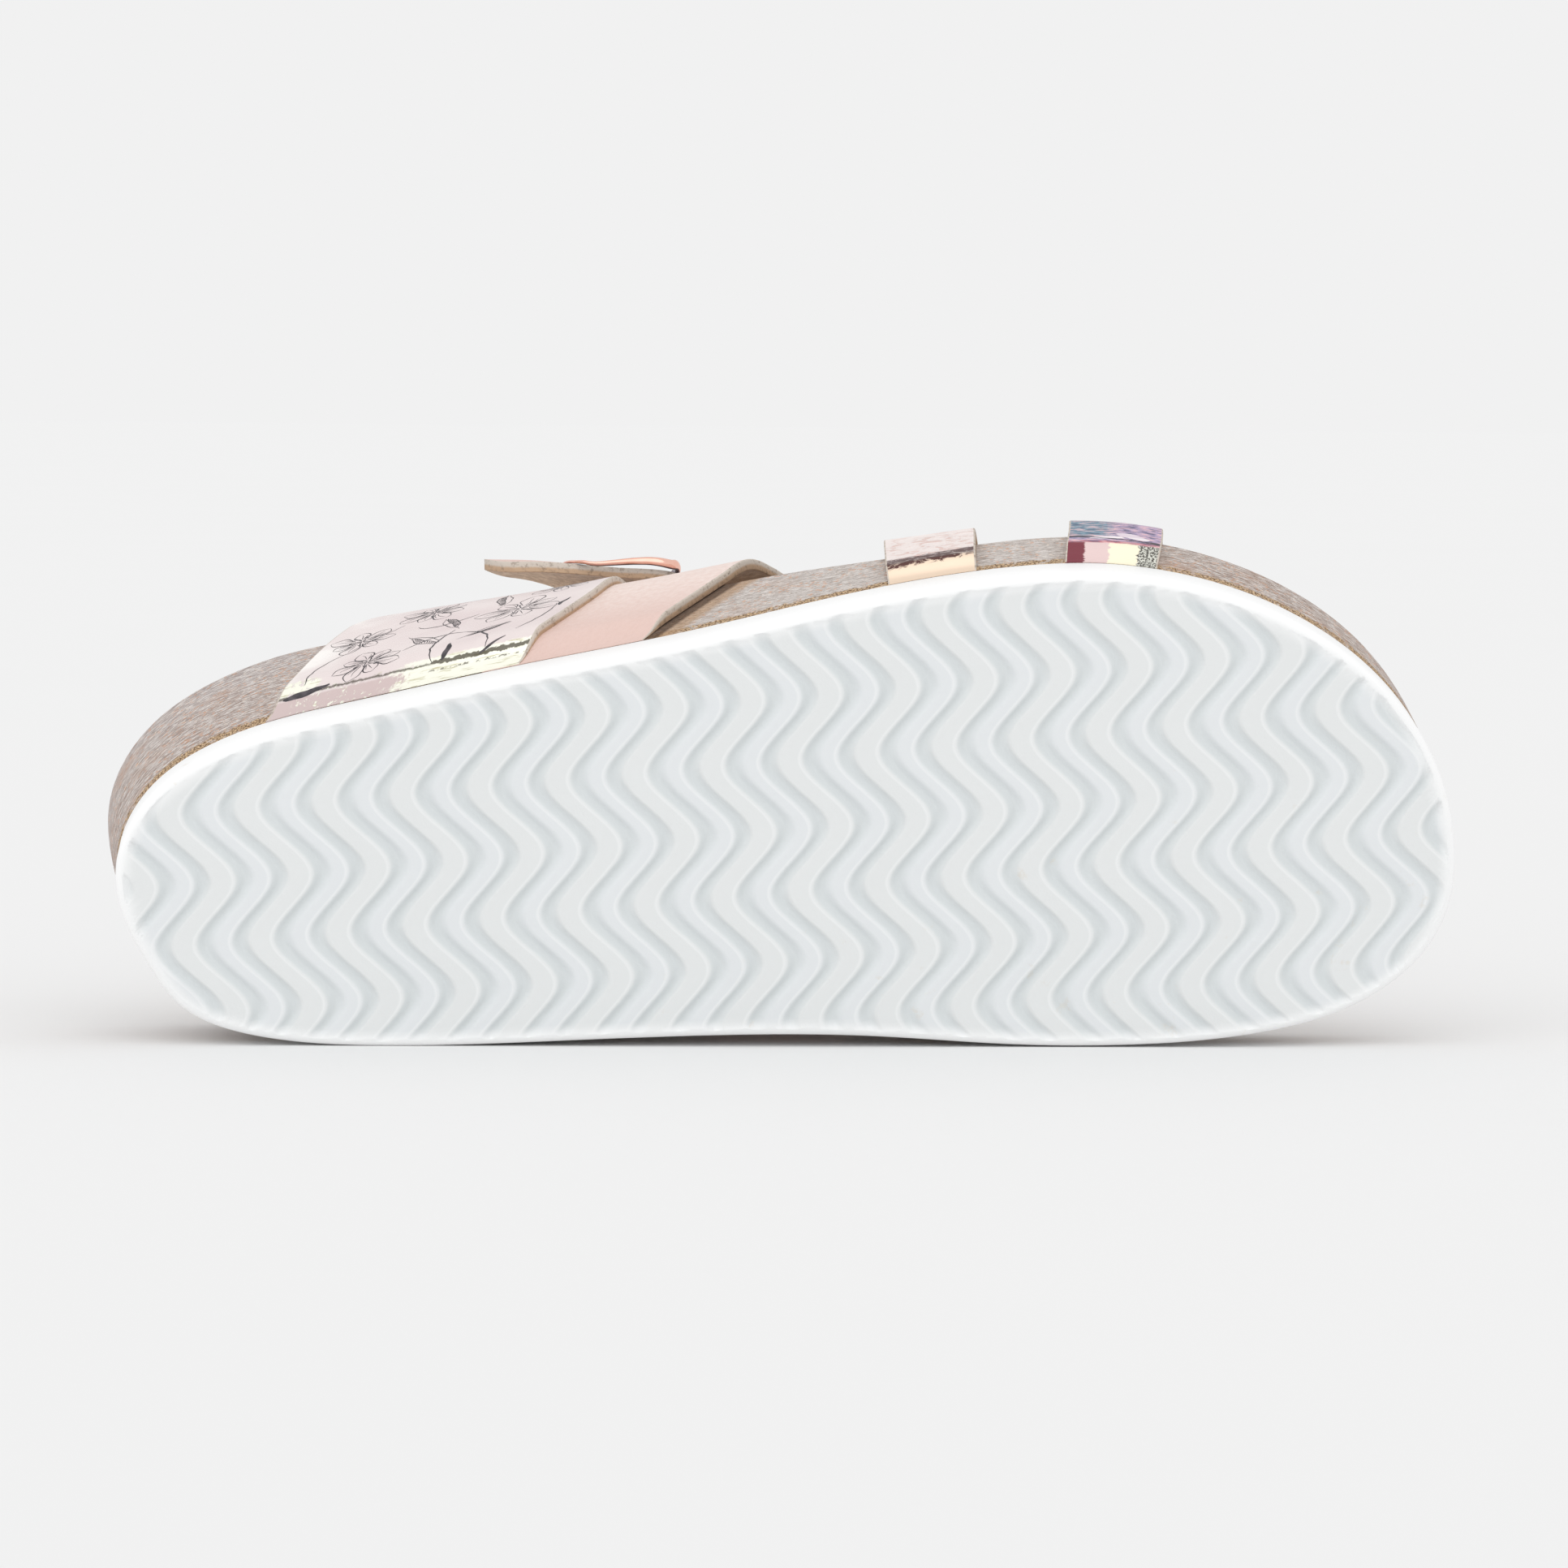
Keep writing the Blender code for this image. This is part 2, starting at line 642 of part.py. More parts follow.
def next_roll(now, touching, lowest, centre, away):
    """Axis and angle of the next roll, or no angle where the touching points hold the centre."""
    base = now[touching][:, :2]
    order = np.argsort(np.arctan2(*(base - base.mean(axis=0)).T[::-1]))
    base = base[order]
    spread = np.ptp(base, axis=0).max()
    if spread < 1e-3:
        pivot, along = lowest[:2], np.array([-away[1], away[0]])
    else:
        edges = np.roll(base, -1, axis=0) - base
        outside = edges[:, 0] * (centre - base)[:, 1] - edges[:, 1] * (centre - base)[:, 0]
        outside /= np.linalg.norm(edges, axis=1) + 1e-9
        if len(base) > 2 and outside.min() > 0:
            return None, None
        worst = outside.argmin()
        pivot, along = base[worst], edges[worst]
    along = along / np.linalg.norm(along)
    inward = np.array([-along[1], along[0]])
    if inward @ (centre - pivot) < 0:
        inward, along = -inward, -along
    reach = (now[:, :2] - pivot) @ inward
    height = now[:, 2] - lowest[2]
    free = (reach > 1e-4) & (height > -1e-7)
    angles = np.arctan2(height[free], reach[free])
    return (along[0], along[1], 0.0), -angles.min()


def lay_down(nodes):
    """The matrix that lays the shoe on the floor, centred over the origin."""
    clouds = [points_of(obj) for obj in nodes]
    points = np.vstack(clouds)
    volumes, centres = [], []
    for obj in nodes:
        work = bmesh.new()
        work.from_mesh(obj.data)
        bmesh.ops.triangulate(work, faces=work.faces)
        corners = np.array([[v.co for v in face.verts] for face in work.faces])
        work.free()
        parts = np.linalg.det(corners) / 6
        volumes.append(parts.sum())
        centres.append((parts[:, None] * corners.sum(axis=1) / 4).sum(axis=0))
    centre = np.sum(centres, axis=0) / np.sum(volumes)
    turn = resting_turn(points, centre)
    now = points @ turn.T
    shift = -(now.min(axis=0) + now.max(axis=0)) / 2
    shift[2] = -now[:, 2].min()
    return Matrix.Translation(shift) @ Matrix(turn.tolist()).to_4x4()


def give_material(obj):
    colour, roughness, metallic = MATERIALS[obj.name]
    material = bpy.data.materials.new(obj.name)
    material.use_nodes = True
    shader = material.node_tree.nodes["Principled BSDF"]
    shader.inputs["Base Color"].default_value = (*colour, 1)
    shader.inputs["Roughness"].default_value = roughness
    shader.inputs["Metallic"].default_value = metallic
    obj.data.materials.clear()
    obj.data.materials.append(material)
    obj.data.shade_smooth()
    obj.data.set_sharp_from_angle(angle=math.radians(35))


def main():
    for obj in list(bpy.data.objects):
        bpy.data.objects.remove(obj)
    scene = bpy.context.scene
    parts = bpy.data.collections.new("cork_footbed_sandal")
    helpers = bpy.data.collections.new("cutters")
    scene.collection.children.link(parts)
    scene.collection.children.link(helpers)
    cutters = []
    nodes = [
        make_outsole(cutters),
        make_footbed(),
        make_insole(),
        make_upper(cutters),
        strap_solid("toe_strap_rear", REAR_TOE),
        strap_solid("toe_strap_front", FRONT_TOE),
        make_buckle(),
    ]
    for obj in nodes:
        parts.objects.link(obj)
    for obj in cutters:
        helpers.objects.link(obj)
        obj.hide_render = True
        obj.display_type = "WIRE"
    bpy.context.view_layer.update()
    for obj in nodes:
        flatten(obj)
    for obj in cutters:
        bpy.data.objects.remove(obj)
    for obj in nodes:
        bend_toe(obj)
        give_material(obj)
    shoe = bpy.data.objects.new("shoe", None)
    parts.objects.link(shoe)
    shoe.matrix_world = lay_down(nodes)
    for obj in nodes:
        obj.parent = shoe
    bpy.context.view_layer.update()


main()
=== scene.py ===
"""A cork footbed sandal for the right foot, lying on its medial side as in the photograph."""

import math

import bpy
import numpy as np
from mathutils import Euler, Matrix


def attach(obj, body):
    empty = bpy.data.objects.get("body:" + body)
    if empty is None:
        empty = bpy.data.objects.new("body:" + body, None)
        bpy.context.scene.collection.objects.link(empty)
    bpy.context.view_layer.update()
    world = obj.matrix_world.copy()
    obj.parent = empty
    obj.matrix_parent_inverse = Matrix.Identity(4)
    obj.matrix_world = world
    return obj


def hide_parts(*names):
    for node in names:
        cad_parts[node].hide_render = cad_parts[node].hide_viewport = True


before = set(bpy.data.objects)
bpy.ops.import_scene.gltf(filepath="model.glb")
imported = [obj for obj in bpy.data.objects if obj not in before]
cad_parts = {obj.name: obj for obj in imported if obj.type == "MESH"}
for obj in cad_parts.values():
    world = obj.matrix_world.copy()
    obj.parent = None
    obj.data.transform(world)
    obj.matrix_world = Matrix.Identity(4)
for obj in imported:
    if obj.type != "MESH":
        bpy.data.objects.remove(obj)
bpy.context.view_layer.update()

# How the sandal lies.
# Every piece is worked out with the shoe standing flat, in millimetres: X from heel to toe, Y
# towards the medial side and Z up from the tread. The shoe then tips over onto its medial side.
LIE = np.array(Euler(np.radians((-77.83876, -5.43746, -0.99184))).to_matrix())
SHIFT = np.array((-126.5753, -32.5359, 27.691))
LENGTH = 257.0
TOE_SPRING, SPRING_FROM = 6.0, 0.76


def lay_down(points):
    """Lifts the toe by a parabola, then turns and shifts points of the flat shoe onto the floor."""
    points = np.array(points, float).reshape(-1, 3)
    share = np.clip((points[:, 0] / LENGTH - SPRING_FROM) / (1 - SPRING_FROM), 0, None)
    points[:, 2] += TOE_SPRING * share**2
    return (points @ LIE.T + SHIFT) * 0.001


# Outsole.
# One sheet of moulded white foam, 9 mm thick, its lower edge rounded. Soft wavy grooves run across
# it in pairs, a narrow and a wide rib in turn, and fade out just inside the edge.
BALL_WIDTH, SOLE, SOLE_ROUND = 95.6, 9.0, 1.8
OUTLINE = np.array((
    # station, half widths medial and lateral as shares of the ball width
    (0.020, 0.154, 0.178),
    (0.059, 0.271, 0.262),
    (0.117, 0.323, 0.318),
    (0.195, 0.353, 0.352),
    (0.312, 0.373, 0.393),
    (0.430, 0.391, 0.429),
    (0.547, 0.422, 0.475),
    (0.664, 0.471, 0.504),
    (0.742, 0.491, 0.498),
    (0.828, 0.495, 0.440),
    (0.891, 0.477, 0.351),
    (0.945, 0.423, 0.225),
    (0.980, 0.342, 0.084),
))
HEEL_TIP, TOE_TIP = -0.02, 0.175
PAIR_PITCH, NARROW_RIB, GROOVE_HALF, GROOVE_DEPTH = 14.77, 6.8, 2.1, 0.85
WAVE_PITCH, WAVE_SWING, WAVE_FALL, WAVE_STRAIGHT = 26.13, 8.8, 0.525, 0.02
LEFT_BEND = (148.8, 9.7)
TREAD_FROM, TREAD_TO, TREAD_STEP = -52.0, 54.0, 0.8
PROFILE_FROM, PROFILE_TO, PROFILE_POINTS = -1.35, 1.15, 13
# how far inside the edge the plain rounding, the grooves and the tread's painted shade begin, over
# how much
EDGE_FROM, GROOVE_FROM, TREAD_SHADE_FROM = 1.08, 0.81, 0.54
EDGE_OVER, GROOVE_OVER, TREAD_SHADE_OVER = 0.5, 2.0, 3.0
EDGE_DROP, TREAD_LIFT, TREAD_TOP = 0.5, 0.03, 2.0
RING_POINTS = 720


def grid_faces(rows, columns, around=False):
    """Four-cornered faces between the neighbours of a grid of points, numbered row by row."""
    last = columns if around else columns - 1
    i, j = np.meshgrid(np.arange(rows - 1), np.arange(last), indexing="ij")
    k = (j + 1) % columns
    corners = (i * columns + j, i * columns + k, (i + 1) * columns + k, (i + 1) * columns + j)
    return np.stack([corner.ravel() for corner in corners], axis=1)


def paint(obj, name, values):
    """A number for each point of a mesh, which its material reads by name."""
    attribute = obj.data.attributes.new(name, "FLOAT", "POINT")
    attribute.data.foreach_set("value", np.asarray(values, np.float32).ravel())


class Tone:
    """A number or colour that varies over a surface, joined by arithmetic into shader nodes."""

    def __init__(self, tree, socket):
        self.tree, self.socket = tree, socket

    def node(self, kind, inputs, output=0, **settings):
        """Any shader node: inputs names its sockets, settings its other choices."""
        made = self.tree.nodes.new("ShaderNode" + kind)
        for name, value in settings.items():
            setattr(made, name, value)
        for name, value in inputs.items():
            if isinstance(value, Tone):
                self.tree.links.new(value.socket, made.inputs[name])
            else:
                made.inputs[name].default_value = value
        return Tone(self.tree, made.outputs[output])

    def sum(self, operation, *values):
        """The Math node of that name, fed with the given values alone."""
        return self.node("Math", dict(enumerate(values)), operation=operation)

    def __add__(self, other):
        return self.sum("ADD", self, other)

    def __sub__(self, other):
        return self.sum("SUBTRACT", self, other)

    def __rsub__(self, other):
        return self.sum("SUBTRACT", other, self)

    def __mul__(self, other):
        return self.sum("MULTIPLY", self, other)

    def __pow__(self, other):
        return self.sum("POWER", self, other)

    def most(self, other):
        """The larger of the two."""
        return self.sum("MAXIMUM", self, other)

    def least(self, other):
        """The smaller of the two."""
        return self.sum("MINIMUM", self, other)

    def step(self, low, high):
        """0 below low, 1 above high, smooth between; the other way round where low is above."""
        names = {"Value": self, 1: low, 2: high, 3: 0.0, 4: 1.0}
        if low > high:
            names = {"Value": self, 1: high, 2: low, 3: 1.0, 4: 0.0}
        return self.node("MapRange", names, interpolation_type="SMOOTHSTEP")

    def near(self, value, reach):
        """1 where this is the value, falling to 0 where it is reach away from it."""
        return self.sum("ABSOLUTE", self - value).step(reach, 0.0)

    def part(self, index):
        """One number of a place: 0 along, 1 across, 2 up."""
        return self.node("SeparateXYZ", {0: self}, index)

    def blend(self, low, high):
        """The colour low where this is 0, high where it is 1."""
        return self.node("Mix", {0: self, 6: low, 7: high}, 2, data_type="RGBA")

    def stretch(self, x, y):
        """A place scaled by its own amount along and across."""
        return self.node("VectorMath", {0: self, 1: (x, y, 1.0)}, operation="MULTIPLY")

    def noise(self, scale, detail=3.0, roughness=0.5, distortion=0.0):
        """Soft cloudy noise from 0 to 1, with scale features in each unit of the place."""
        names = {"Vector": self, "Scale": scale, "Detail": detail, "Roughness": roughness}
        return self.node("TexNoise", {**names, "Distortion": distortion})

    def cells(self, scale):
        """The distance to the nearest of many scattered points."""
        return self.node("TexVoronoi", {"Vector": self, "Scale": scale}, feature="F1")


def colour(red, green, blue):
    """A colour from the 0 to 255 that a picture shows."""
    value = np.array((red, green, blue)) / 255
    linear = np.where(value < 0.04045, value / 12.92, ((value + 0.055) / 1.055) ** 2.4)
    return (*linear.tolist(), 1.0)


def finish(name, roughness=0.5, metallic=0.0, **even):
    """A material, its shader, and a place on it in the object and on its own texture map."""
    material = bpy.data.materials.new(name)
    material.use_nodes = True
    tree = material.node_tree
    shader = tree.nodes["Principled BSDF"]
    shader.inputs["Roughness"].default_value = roughness
    shader.inputs["Metallic"].default_value = metallic
    for key, value in even.items():
        shader.inputs[key.replace("_", " ")].default_value = value
    where = Tone(tree, None).node("TexCoord", {}, 3)
    surface = Tone(tree, None).node("UVMap", {}, uv_map="surface")
    return material, shader, where, surface


def reads(tone, name):
    """The numbers that paint gave the mesh."""
    return tone.node("Attribute", {}, 2, attribute_name=name)


def feed(shader, **tones):
    """Joins tones to the shader's sockets."""
    for name, tone in tones.items():
        tone.tree.links.new(tone.socket, shader.inputs[name.replace("_", " ")])


def bump(shader, height, distance):
    """Raises the surface by up to distance millimetres where height is 1."""
    names = {"Height": height, "Distance": distance * 0.001, "Strength": 1.0}
    feed(shader, Normal=height.node("Bump", names))


def closed_spline(points, samples):
    """The periodic cubic curve through the points, by chord length, at even places."""
    count = len(points)
    ahead = np.roll(points, -1, axis=0)
    chord = np.linalg.norm(ahead - points, axis=1)
    behind = np.roll(chord, 1)
    slope = (ahead - points) / chord[:, None]
    here, after = np.arange(count), (np.arange(count) + 1) % count
    system = np.diag(2 * (chord + behind))
    system[here, here - 1] += behind
    system[here, after] += chord
    bend = np.linalg.solve(system, 6 * (slope - np.roll(slope, 1, axis=0)))
    knots = np.concatenate([[0], np.cumsum(chord)])
    place = np.linspace(0, knots[-1], samples, endpoint=False)
    i = np.clip(np.searchsorted(knots, place, side="right") - 1, 0, count - 1)
    j, h = after[i], chord[i][:, None]
    b = (place - knots[i])[:, None] / h
    a = 1 - b
    sag = ((a**3 - a) * bend[i] + (b**3 - b) * bend[j]) * h**2 / 6
    return a * points[i] + b * points[j] + sag


def sole_ring(samples):
    """Points round the sole from the heel tip over the medial side, and their outward normals."""
    medial, lateral = OUTLINE[:, :2], OUTLINE[::-1, ::2] * (1, -1)
    curve = closed_spline(np.vstack([(0, HEEL_TIP), medial, (1, TOE_TIP), lateral]), samples)
    curve *= (LENGTH, BALL_WIDTH)
    curve[:, 0] = (curve[:, 0] - curve[:, 0].min()) * LENGTH / np.ptp(curve[:, 0])
    curve = np.roll(curve, -curve[:, 0].argmin(), axis=0)
    along = np.roll(curve, -1, axis=0) - np.roll(curve, 1, axis=0)
    normal = np.column_stack([-along[:, 1], along[:, 0]])
    return curve, normal / np.linalg.norm(normal, axis=1)[:, None]


RING, OUTWARD = sole_ring(RING_POINTS)
TOE = RING[:, 0].argmax()
MEDIAL, LATERAL = RING[: TOE + 1], np.vstack([RING[TOE:], RING[:1]])[::-1]


def ring_rows(offset, height):
    """Rows of ring points, each moved outward by its offset and raised to its height."""
    offset, height = (np.broadcast_to(v, (len(v), len(RING))) for v in (offset, height))
    return np.concatenate([RING + OUTWARD * offset[..., None], height[..., None]], axis=-1)


def inside_by(x, y):
    """How far each point lies inside the edge of the sole, less than nothing outside it."""
    place = np.stack([x.ravel(), y.ravel()], axis=1)
    found = []
    for part in np.array_split(place, max(1, len(place) // 4000)):
        away = part[:, None] - RING[None]
        nearest = (away**2).sum(axis=2).argmin(axis=1)
        row = np.arange(len(part))
        found.append(-(away[row, nearest] * OUTWARD[nearest]).sum(axis=1))
    return np.concatenate(found).reshape(x.shape)


def wave(y):
    """How far a groove swings towards the toe: a zigzag with rounded bends and uneven halves."""
    phase = ((y - LEFT_BEND[1]) / WAVE_PITCH) % 1
    falls = phase / WAVE_FALL / 2
    rises = 0.5 + (phase - WAVE_FALL) / (1 - WAVE_FALL) / 2
    turn = 2 * math.pi * np.where(phase < WAVE_FALL, falls, rises)
    straight = WAVE_STRAIGHT * (np.cos(turn) - np.cos(3 * turn))
    return WAVE_SWING / 2 * (1 - np.cos(turn) + straight)


def groove_side(across):
    """How far a place is from the middle of its groove, in half widths, less than 0 heelwards."""
    phase = (across - LEFT_BEND[0] + NARROW_RIB) % PAIR_PITCH - NARROW_RIB
    here = np.where(np.abs(phase) < np.abs(phase - NARROW_RIB), phase, phase - NARROW_RIB)
    return np.where(np.abs(here) < np.abs(phase + PAIR_PITCH - NARROW_RIB), here, 9.0) / GROOVE_HALF


def groove_share(across):
    """1 in the middle of a groove and 0 on the ribs, for a place across the waves."""
    return 0.5 + 0.5 * np.cos(math.pi * np.clip(groove_side(across), -1, 1))


def outsole_mesh():
    """The plain sheet with its rounded edge, met with a slab whose underside is the wavy tread.

    The tread's height is the groove's share times its depth, faded out towards the edge.
    """
    turn = np.linspace(0, math.pi / 2, 9)
    inset = np.concatenate([SOLE_ROUND * (np.sin(turn) - 1), [0.0, -0.06, -0.9]])
    rise = np.concatenate([SOLE_ROUND * (1 - np.cos(turn)), [SOLE - 0.12, SOLE - 0.02, SOLE]])
    sheet = ring_rows(inset[:, None], rise[:, None])
    count = len(RING)
    caps = [tuple(range(count)), tuple(range((len(sheet) - 1) * count, len(sheet) * count))[::-1]]
    plain = bpy.data.meshes.new("plain_sheet")
    sides = grid_faces(len(sheet), count, around=True)[:, ::-1]
    plain.from_pydata(sheet.reshape(-1, 3).tolist(), [], [*map(tuple, sides), *caps])

    first = LEFT_BEND[0] - PAIR_PITCH * math.ceil(LEFT_BEND[0] / PAIR_PITCH + 1)
    starts = first + PAIR_PITCH * np.arange(int(LENGTH / PAIR_PITCH) + 4)
    profile = np.linspace(PROFILE_FROM, PROFILE_TO, PROFILE_POINTS) * GROOVE_HALF
    on_narrow, on_wide = [NARROW_RIB / 2], [(NARROW_RIB + PAIR_PITCH) / 2]
    within = np.concatenate([profile, on_narrow, NARROW_RIB + profile, on_wide])
    across = (starts[:, None] + within[None]).ravel()
    y, across = np.meshgrid(np.arange(TREAD_FROM, TREAD_TO, TREAD_STEP), across, indexing="ij")
    x = across + wave(y)
    inside = inside_by(x, y)
    fade = np.clip((inside - GROOVE_FROM) / GROOVE_OVER, 0, 1)
    fade = fade * fade * (3 - 2 * fade)
    under = groove_share(across) * GROOVE_DEPTH * fade + TREAD_LIFT
    under -= EDGE_DROP * np.clip(1 - (inside - EDGE_FROM) / EDGE_OVER, 0, 1)
    low = np.stack([x, y, under], axis=-1)
    rows, columns = x.shape
    number = np.arange(rows * columns).reshape(rows, columns)
    border = np.concatenate([number[0], number[1:, -1], number[-1, -2::-1], number[-2:0:-1, 0]])
    high = low.reshape(-1, 3)[border] * (1, 1, 0) + (0, 0, SOLE + 6)
    top = rows * columns + np.arange(len(border))
    walls = np.stack([border, top, np.roll(top, -1), np.roll(border, -1)], axis=1)
    faces = np.concatenate([grid_faces(rows, columns), walls])[:, ::-1]
    faces = [*map(tuple, faces), tuple(top)]
    slab = bpy.data.meshes.new("tread_slab")
    slab.from_pydata(np.vstack([low.reshape(-1, 3), high]).tolist(), [], faces)
    both = [bpy.data.objects.new(mesh.name, mesh) for mesh in (plain, slab)]
    for obj in both:
        bpy.context.collection.objects.link(obj)
    met = both[0].modifiers.new("tread", "BOOLEAN")
    met.operation, met.solver, met.object = "INTERSECT", "MANIFOLD", both[1]
    graph = bpy.context.evaluated_depsgraph_get()
    mesh = bpy.data.meshes.new_from_object(both[0].evaluated_get(graph))
    for obj in both:
        bpy.data.objects.remove(obj)
    return mesh


mesh = outsole_mesh()
flat = np.empty(len(mesh.vertices) * 3)
mesh.vertices.foreach_get("co", flat)
flat = flat.reshape(-1, 3)
mesh.vertices.foreach_set("co", lay_down(flat).ravel())
mesh.shade_smooth()
mesh.set_sharp_from_angle(angle=math.radians(60))
outsole = bpy.data.objects.new("foam_outsole", mesh)
bpy.context.collection.objects.link(outsole)
across = flat[:, 0] - wave(flat[:, 1])
narrow = (across - LEFT_BEND[0]) % PAIR_PITCH < NARROW_RIB
inside = inside_by(flat[:, 0], flat[:, 1])
low = flat[:, 2] < TREAD_TOP
# painted shade: the tread face is painted a darker grey than the white rounded edge of the same
# foam
tread = np.clip((inside - TREAD_SHADE_FROM) / TREAD_SHADE_OVER, 0, 1) * low
open_tread = np.clip((inside - GROOVE_FROM) / GROOVE_OVER, 0, 1) * low
place = groove_side(across)
paint(outsole, "narrow_rib", narrow * tread)
# painted shade darkens each groove, most on its heelward wall, and a painted highlight runs along
# its heelward shoulder
paint(outsole, "valley_shade", np.interp(place, (-1.0, -0.6, 0.1, 1.05), (0, 1, 0.85, 0)) * open_tread)
paint(outsole, "gleam", np.interp(place, (-1.35, -1.1, -0.85), (0, 1, 0)) * open_tread)
paint(outsole, "tread", tread)
foam, shader, where, surface = finish("white_foam", roughness=0.6, Specular_IOR_Level=0.25)
cloudy = where.noise(45, 3)
rib = reads(where, "narrow_rib").blend(colour(226, 228, 228), colour(225, 228, 230))
# the ribs' colour with the painted groove shade, then the painted shoulder highlight
shade = reads(where, "valley_shade").blend(rib, colour(212, 217, 218))
lit = (reads(where, "gleam") * 0.6).blend(shade, colour(242, 243, 243))
# the white rounded edge, then the tread with its painted shade
rounded = reads(where, "tread").blend(colour(250, 250, 250), lit)
dirt = where.noise(160, 5, 0.7).step(0.62, 0.74) * where.noise(14, 1).step(0.48, 0.62)
worn = (cloudy * 0.2).blend(rounded, colour(238, 240, 240))
soiled = (dirt * 0.3).blend(worn, colour(214, 202, 182))
feed(shader, Base_Color=soiled, Roughness=cloudy * 0.15 + 0.52)
bump(shader, where.noise(2600, 2) * 0.7 + where.noise(420, 3) * 0.5, 0.05)
outsole.data.materials.clear()
outsole.data.materials.append(foam)
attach(outsole, "root")
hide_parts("outsole")

# Footbed.
# Ground cork and latex pressed into a deep heel cup, an arch and a low raised rim. Its side is
# buffed and weathered, with fine streaks along the shoe and crumbly raw lines at both edges.
GAP, RIM_WIDTH, RIM_ROUND, SIDE_BULGE = 0.02, 4.0, 1.6, 0.55
# the line along the middle of the shoe starts so far from the heel, and is so much shorter
MIDDLE_FROM, MIDDLE_SHORTER = 34.0, 76.0
RIM = np.array((
    # station, height medial and lateral, flare medial and lateral
    (0.00, 31.5, 31.5, 4.2, 3.6),
    (0.16, 31.5, 33.0, 3.2, 4.5),
    (0.33, 33.0, 27.5, 2.6, 1.8),
    (0.49, 27.0, 23.0, 2.0, 1.7),
    (0.60, 19.0, 15.8, 1.4, 1.3),
    (0.80, 15.6, 15.6, 1.0, 1.9),
    (0.92, 14.0, 14.6, 0.2, 1.7),
    (1.00, 13.0, 13.0, -0.5, 0.0),
))
BED = np.array((
    # station, middle, width of the slope up to the rim, medial and lateral
    (0.00, 19.0, 24.0, 24.0),
    (0.14, 17.0, 26.0, 24.0),
    (0.35, 18.5, 34.0, 20.0),
    (0.55, 14.5, 26.0, 12.0),
    (0.68, 12.5, 12.0, 8.0),
    (0.85, 11.0, 7.0, 7.0),
    (1.00, 11.5, 7.0, 7.0),
))


def mesh_object(name, points, faces, smooth_angle=40.0):
    """A mesh of the flat shoe's points, laid down, shaded smooth up to the given angle."""
    mesh = bpy.data.meshes.new(name)
    mesh.from_pydata(lay_down(points).tolist(), [], [tuple(face) for face in faces])
    mesh.shade_smooth()
    mesh.set_sharp_from_angle(angle=math.radians(smooth_angle))
    obj = bpy.data.objects.new(name, mesh)
    bpy.context.collection.objects.link(obj)
    return obj


def unwrap(obj, uv):
    """The mesh's own texture map: one pair of numbers for each point, in centimetres."""
    layer = obj.data.uv_layers.new(name="surface")
    corner = np.empty(len(obj.data.loops), np.int32)
    obj.data.loops.foreach_get("vertex_index", corner)
    layer.data.foreach_set("uv", np.asarray(uv, np.float32).reshape(-1, 2)[corner].ravel())


def column(table, index, x):
    """A column of a table at places along the shoe, its corners rounded by averaging."""
    station = np.clip(np.asarray(x, float) / LENGTH, 0, 1)
    reach = np.linspace(-0.03, 0.03, 7)
    return np.mean([np.interp(station + r, table[:, 0], table[:, index]) for r in reach], axis=0)


def by_side(table, medial, lateral, x, y):
    """The two columns of a table for its two sides, blended across the middle of the shoe."""
    share = np.clip(0.5 + y / (BALL_WIDTH / 2), 0, 1)
    share = share * share * (3 - 2 * share)
    return share * column(table, medial, x) + (1 - share) * column(table, lateral, x)


def bed_height(x, y):
    """The footbed's top: its middle height, rising to the rim by a parabola over the slope."""
    slope, middle = by_side(BED, 2, 3, x, y), column(BED, 1, x)
    climb = np.clip(1 - inside_by(x, y) / slope, 0, 1) ** 2
    return SOLE + middle + (by_side(RIM, 1, 2, x, y) - RIM_ROUND / 2 - middle) * climb


def inward_rows(offset, shares):
    """Rows that shrink from an offset ring to a line along the middle of the shoe."""
    edge = RING + OUTWARD * offset[:, None]
    middle_x = MIDDLE_FROM + edge[:, 0] / LENGTH * (LENGTH - MIDDLE_SHORTER)
    middle_y = (np.interp(middle_x, *MEDIAL.T) + np.interp(middle_x, *LATERAL.T)) / 2
    middle = np.column_stack([middle_x, middle_y])
    return middle + (edge - middle) * shares[:, None, None]


high, flare = by_side(RIM, 1, 2, *RING.T), by_side(RIM, 3, 4, *RING.T)
up = np.linspace(0, 1, 16)[:, None]
lean = np.interp(up, (0, 0.5, 1), (0, SIDE_BULGE, 1)) * 0.6 + (1 - (1 - up) ** 1.6) * 0.4
turn = np.linspace(0, math.pi / 2, 7)[1:, None]
offset = np.vstack([-GAP * (1 - up) + flare * lean, flare - RIM_ROUND * (1 - np.cos(turn))])
height = np.vstack([
    SOLE + GAP + (high - RIM_ROUND - GAP) * up, SOLE + high - RIM_ROUND * (1 - np.sin(turn)),
])
side = ring_rows(offset, height)
plan = inward_rows(flare - RIM_WIDTH, np.linspace(1, 0.04, 24))
bed = np.concatenate([plan, bed_height(plan[..., 0], plan[..., 1])[..., None]], axis=-1)
bed_points = np.concatenate([side, bed])
rows, count = bed_points.shape[:2]
caps = [tuple(range(count))[::-1], tuple(range((rows - 1) * count, rows * count))]
footbed = mesh_object("cork_footbed", bed_points, [*grid_faces(rows, count, around=True), *caps])
step = np.linalg.norm(np.roll(RING, -1, axis=0) - RING, axis=1)
along = np.concatenate([[0], np.cumsum(step)[:-1]])
tall = np.concatenate([height, np.broadcast_to(height[-1:], (rows - len(height), count))])
climbed = np.cumsum(np.linalg.norm(np.diff(bed_points, axis=0), axis=-1), axis=0)
climbed = np.concatenate([np.zeros((1, count)), climbed])
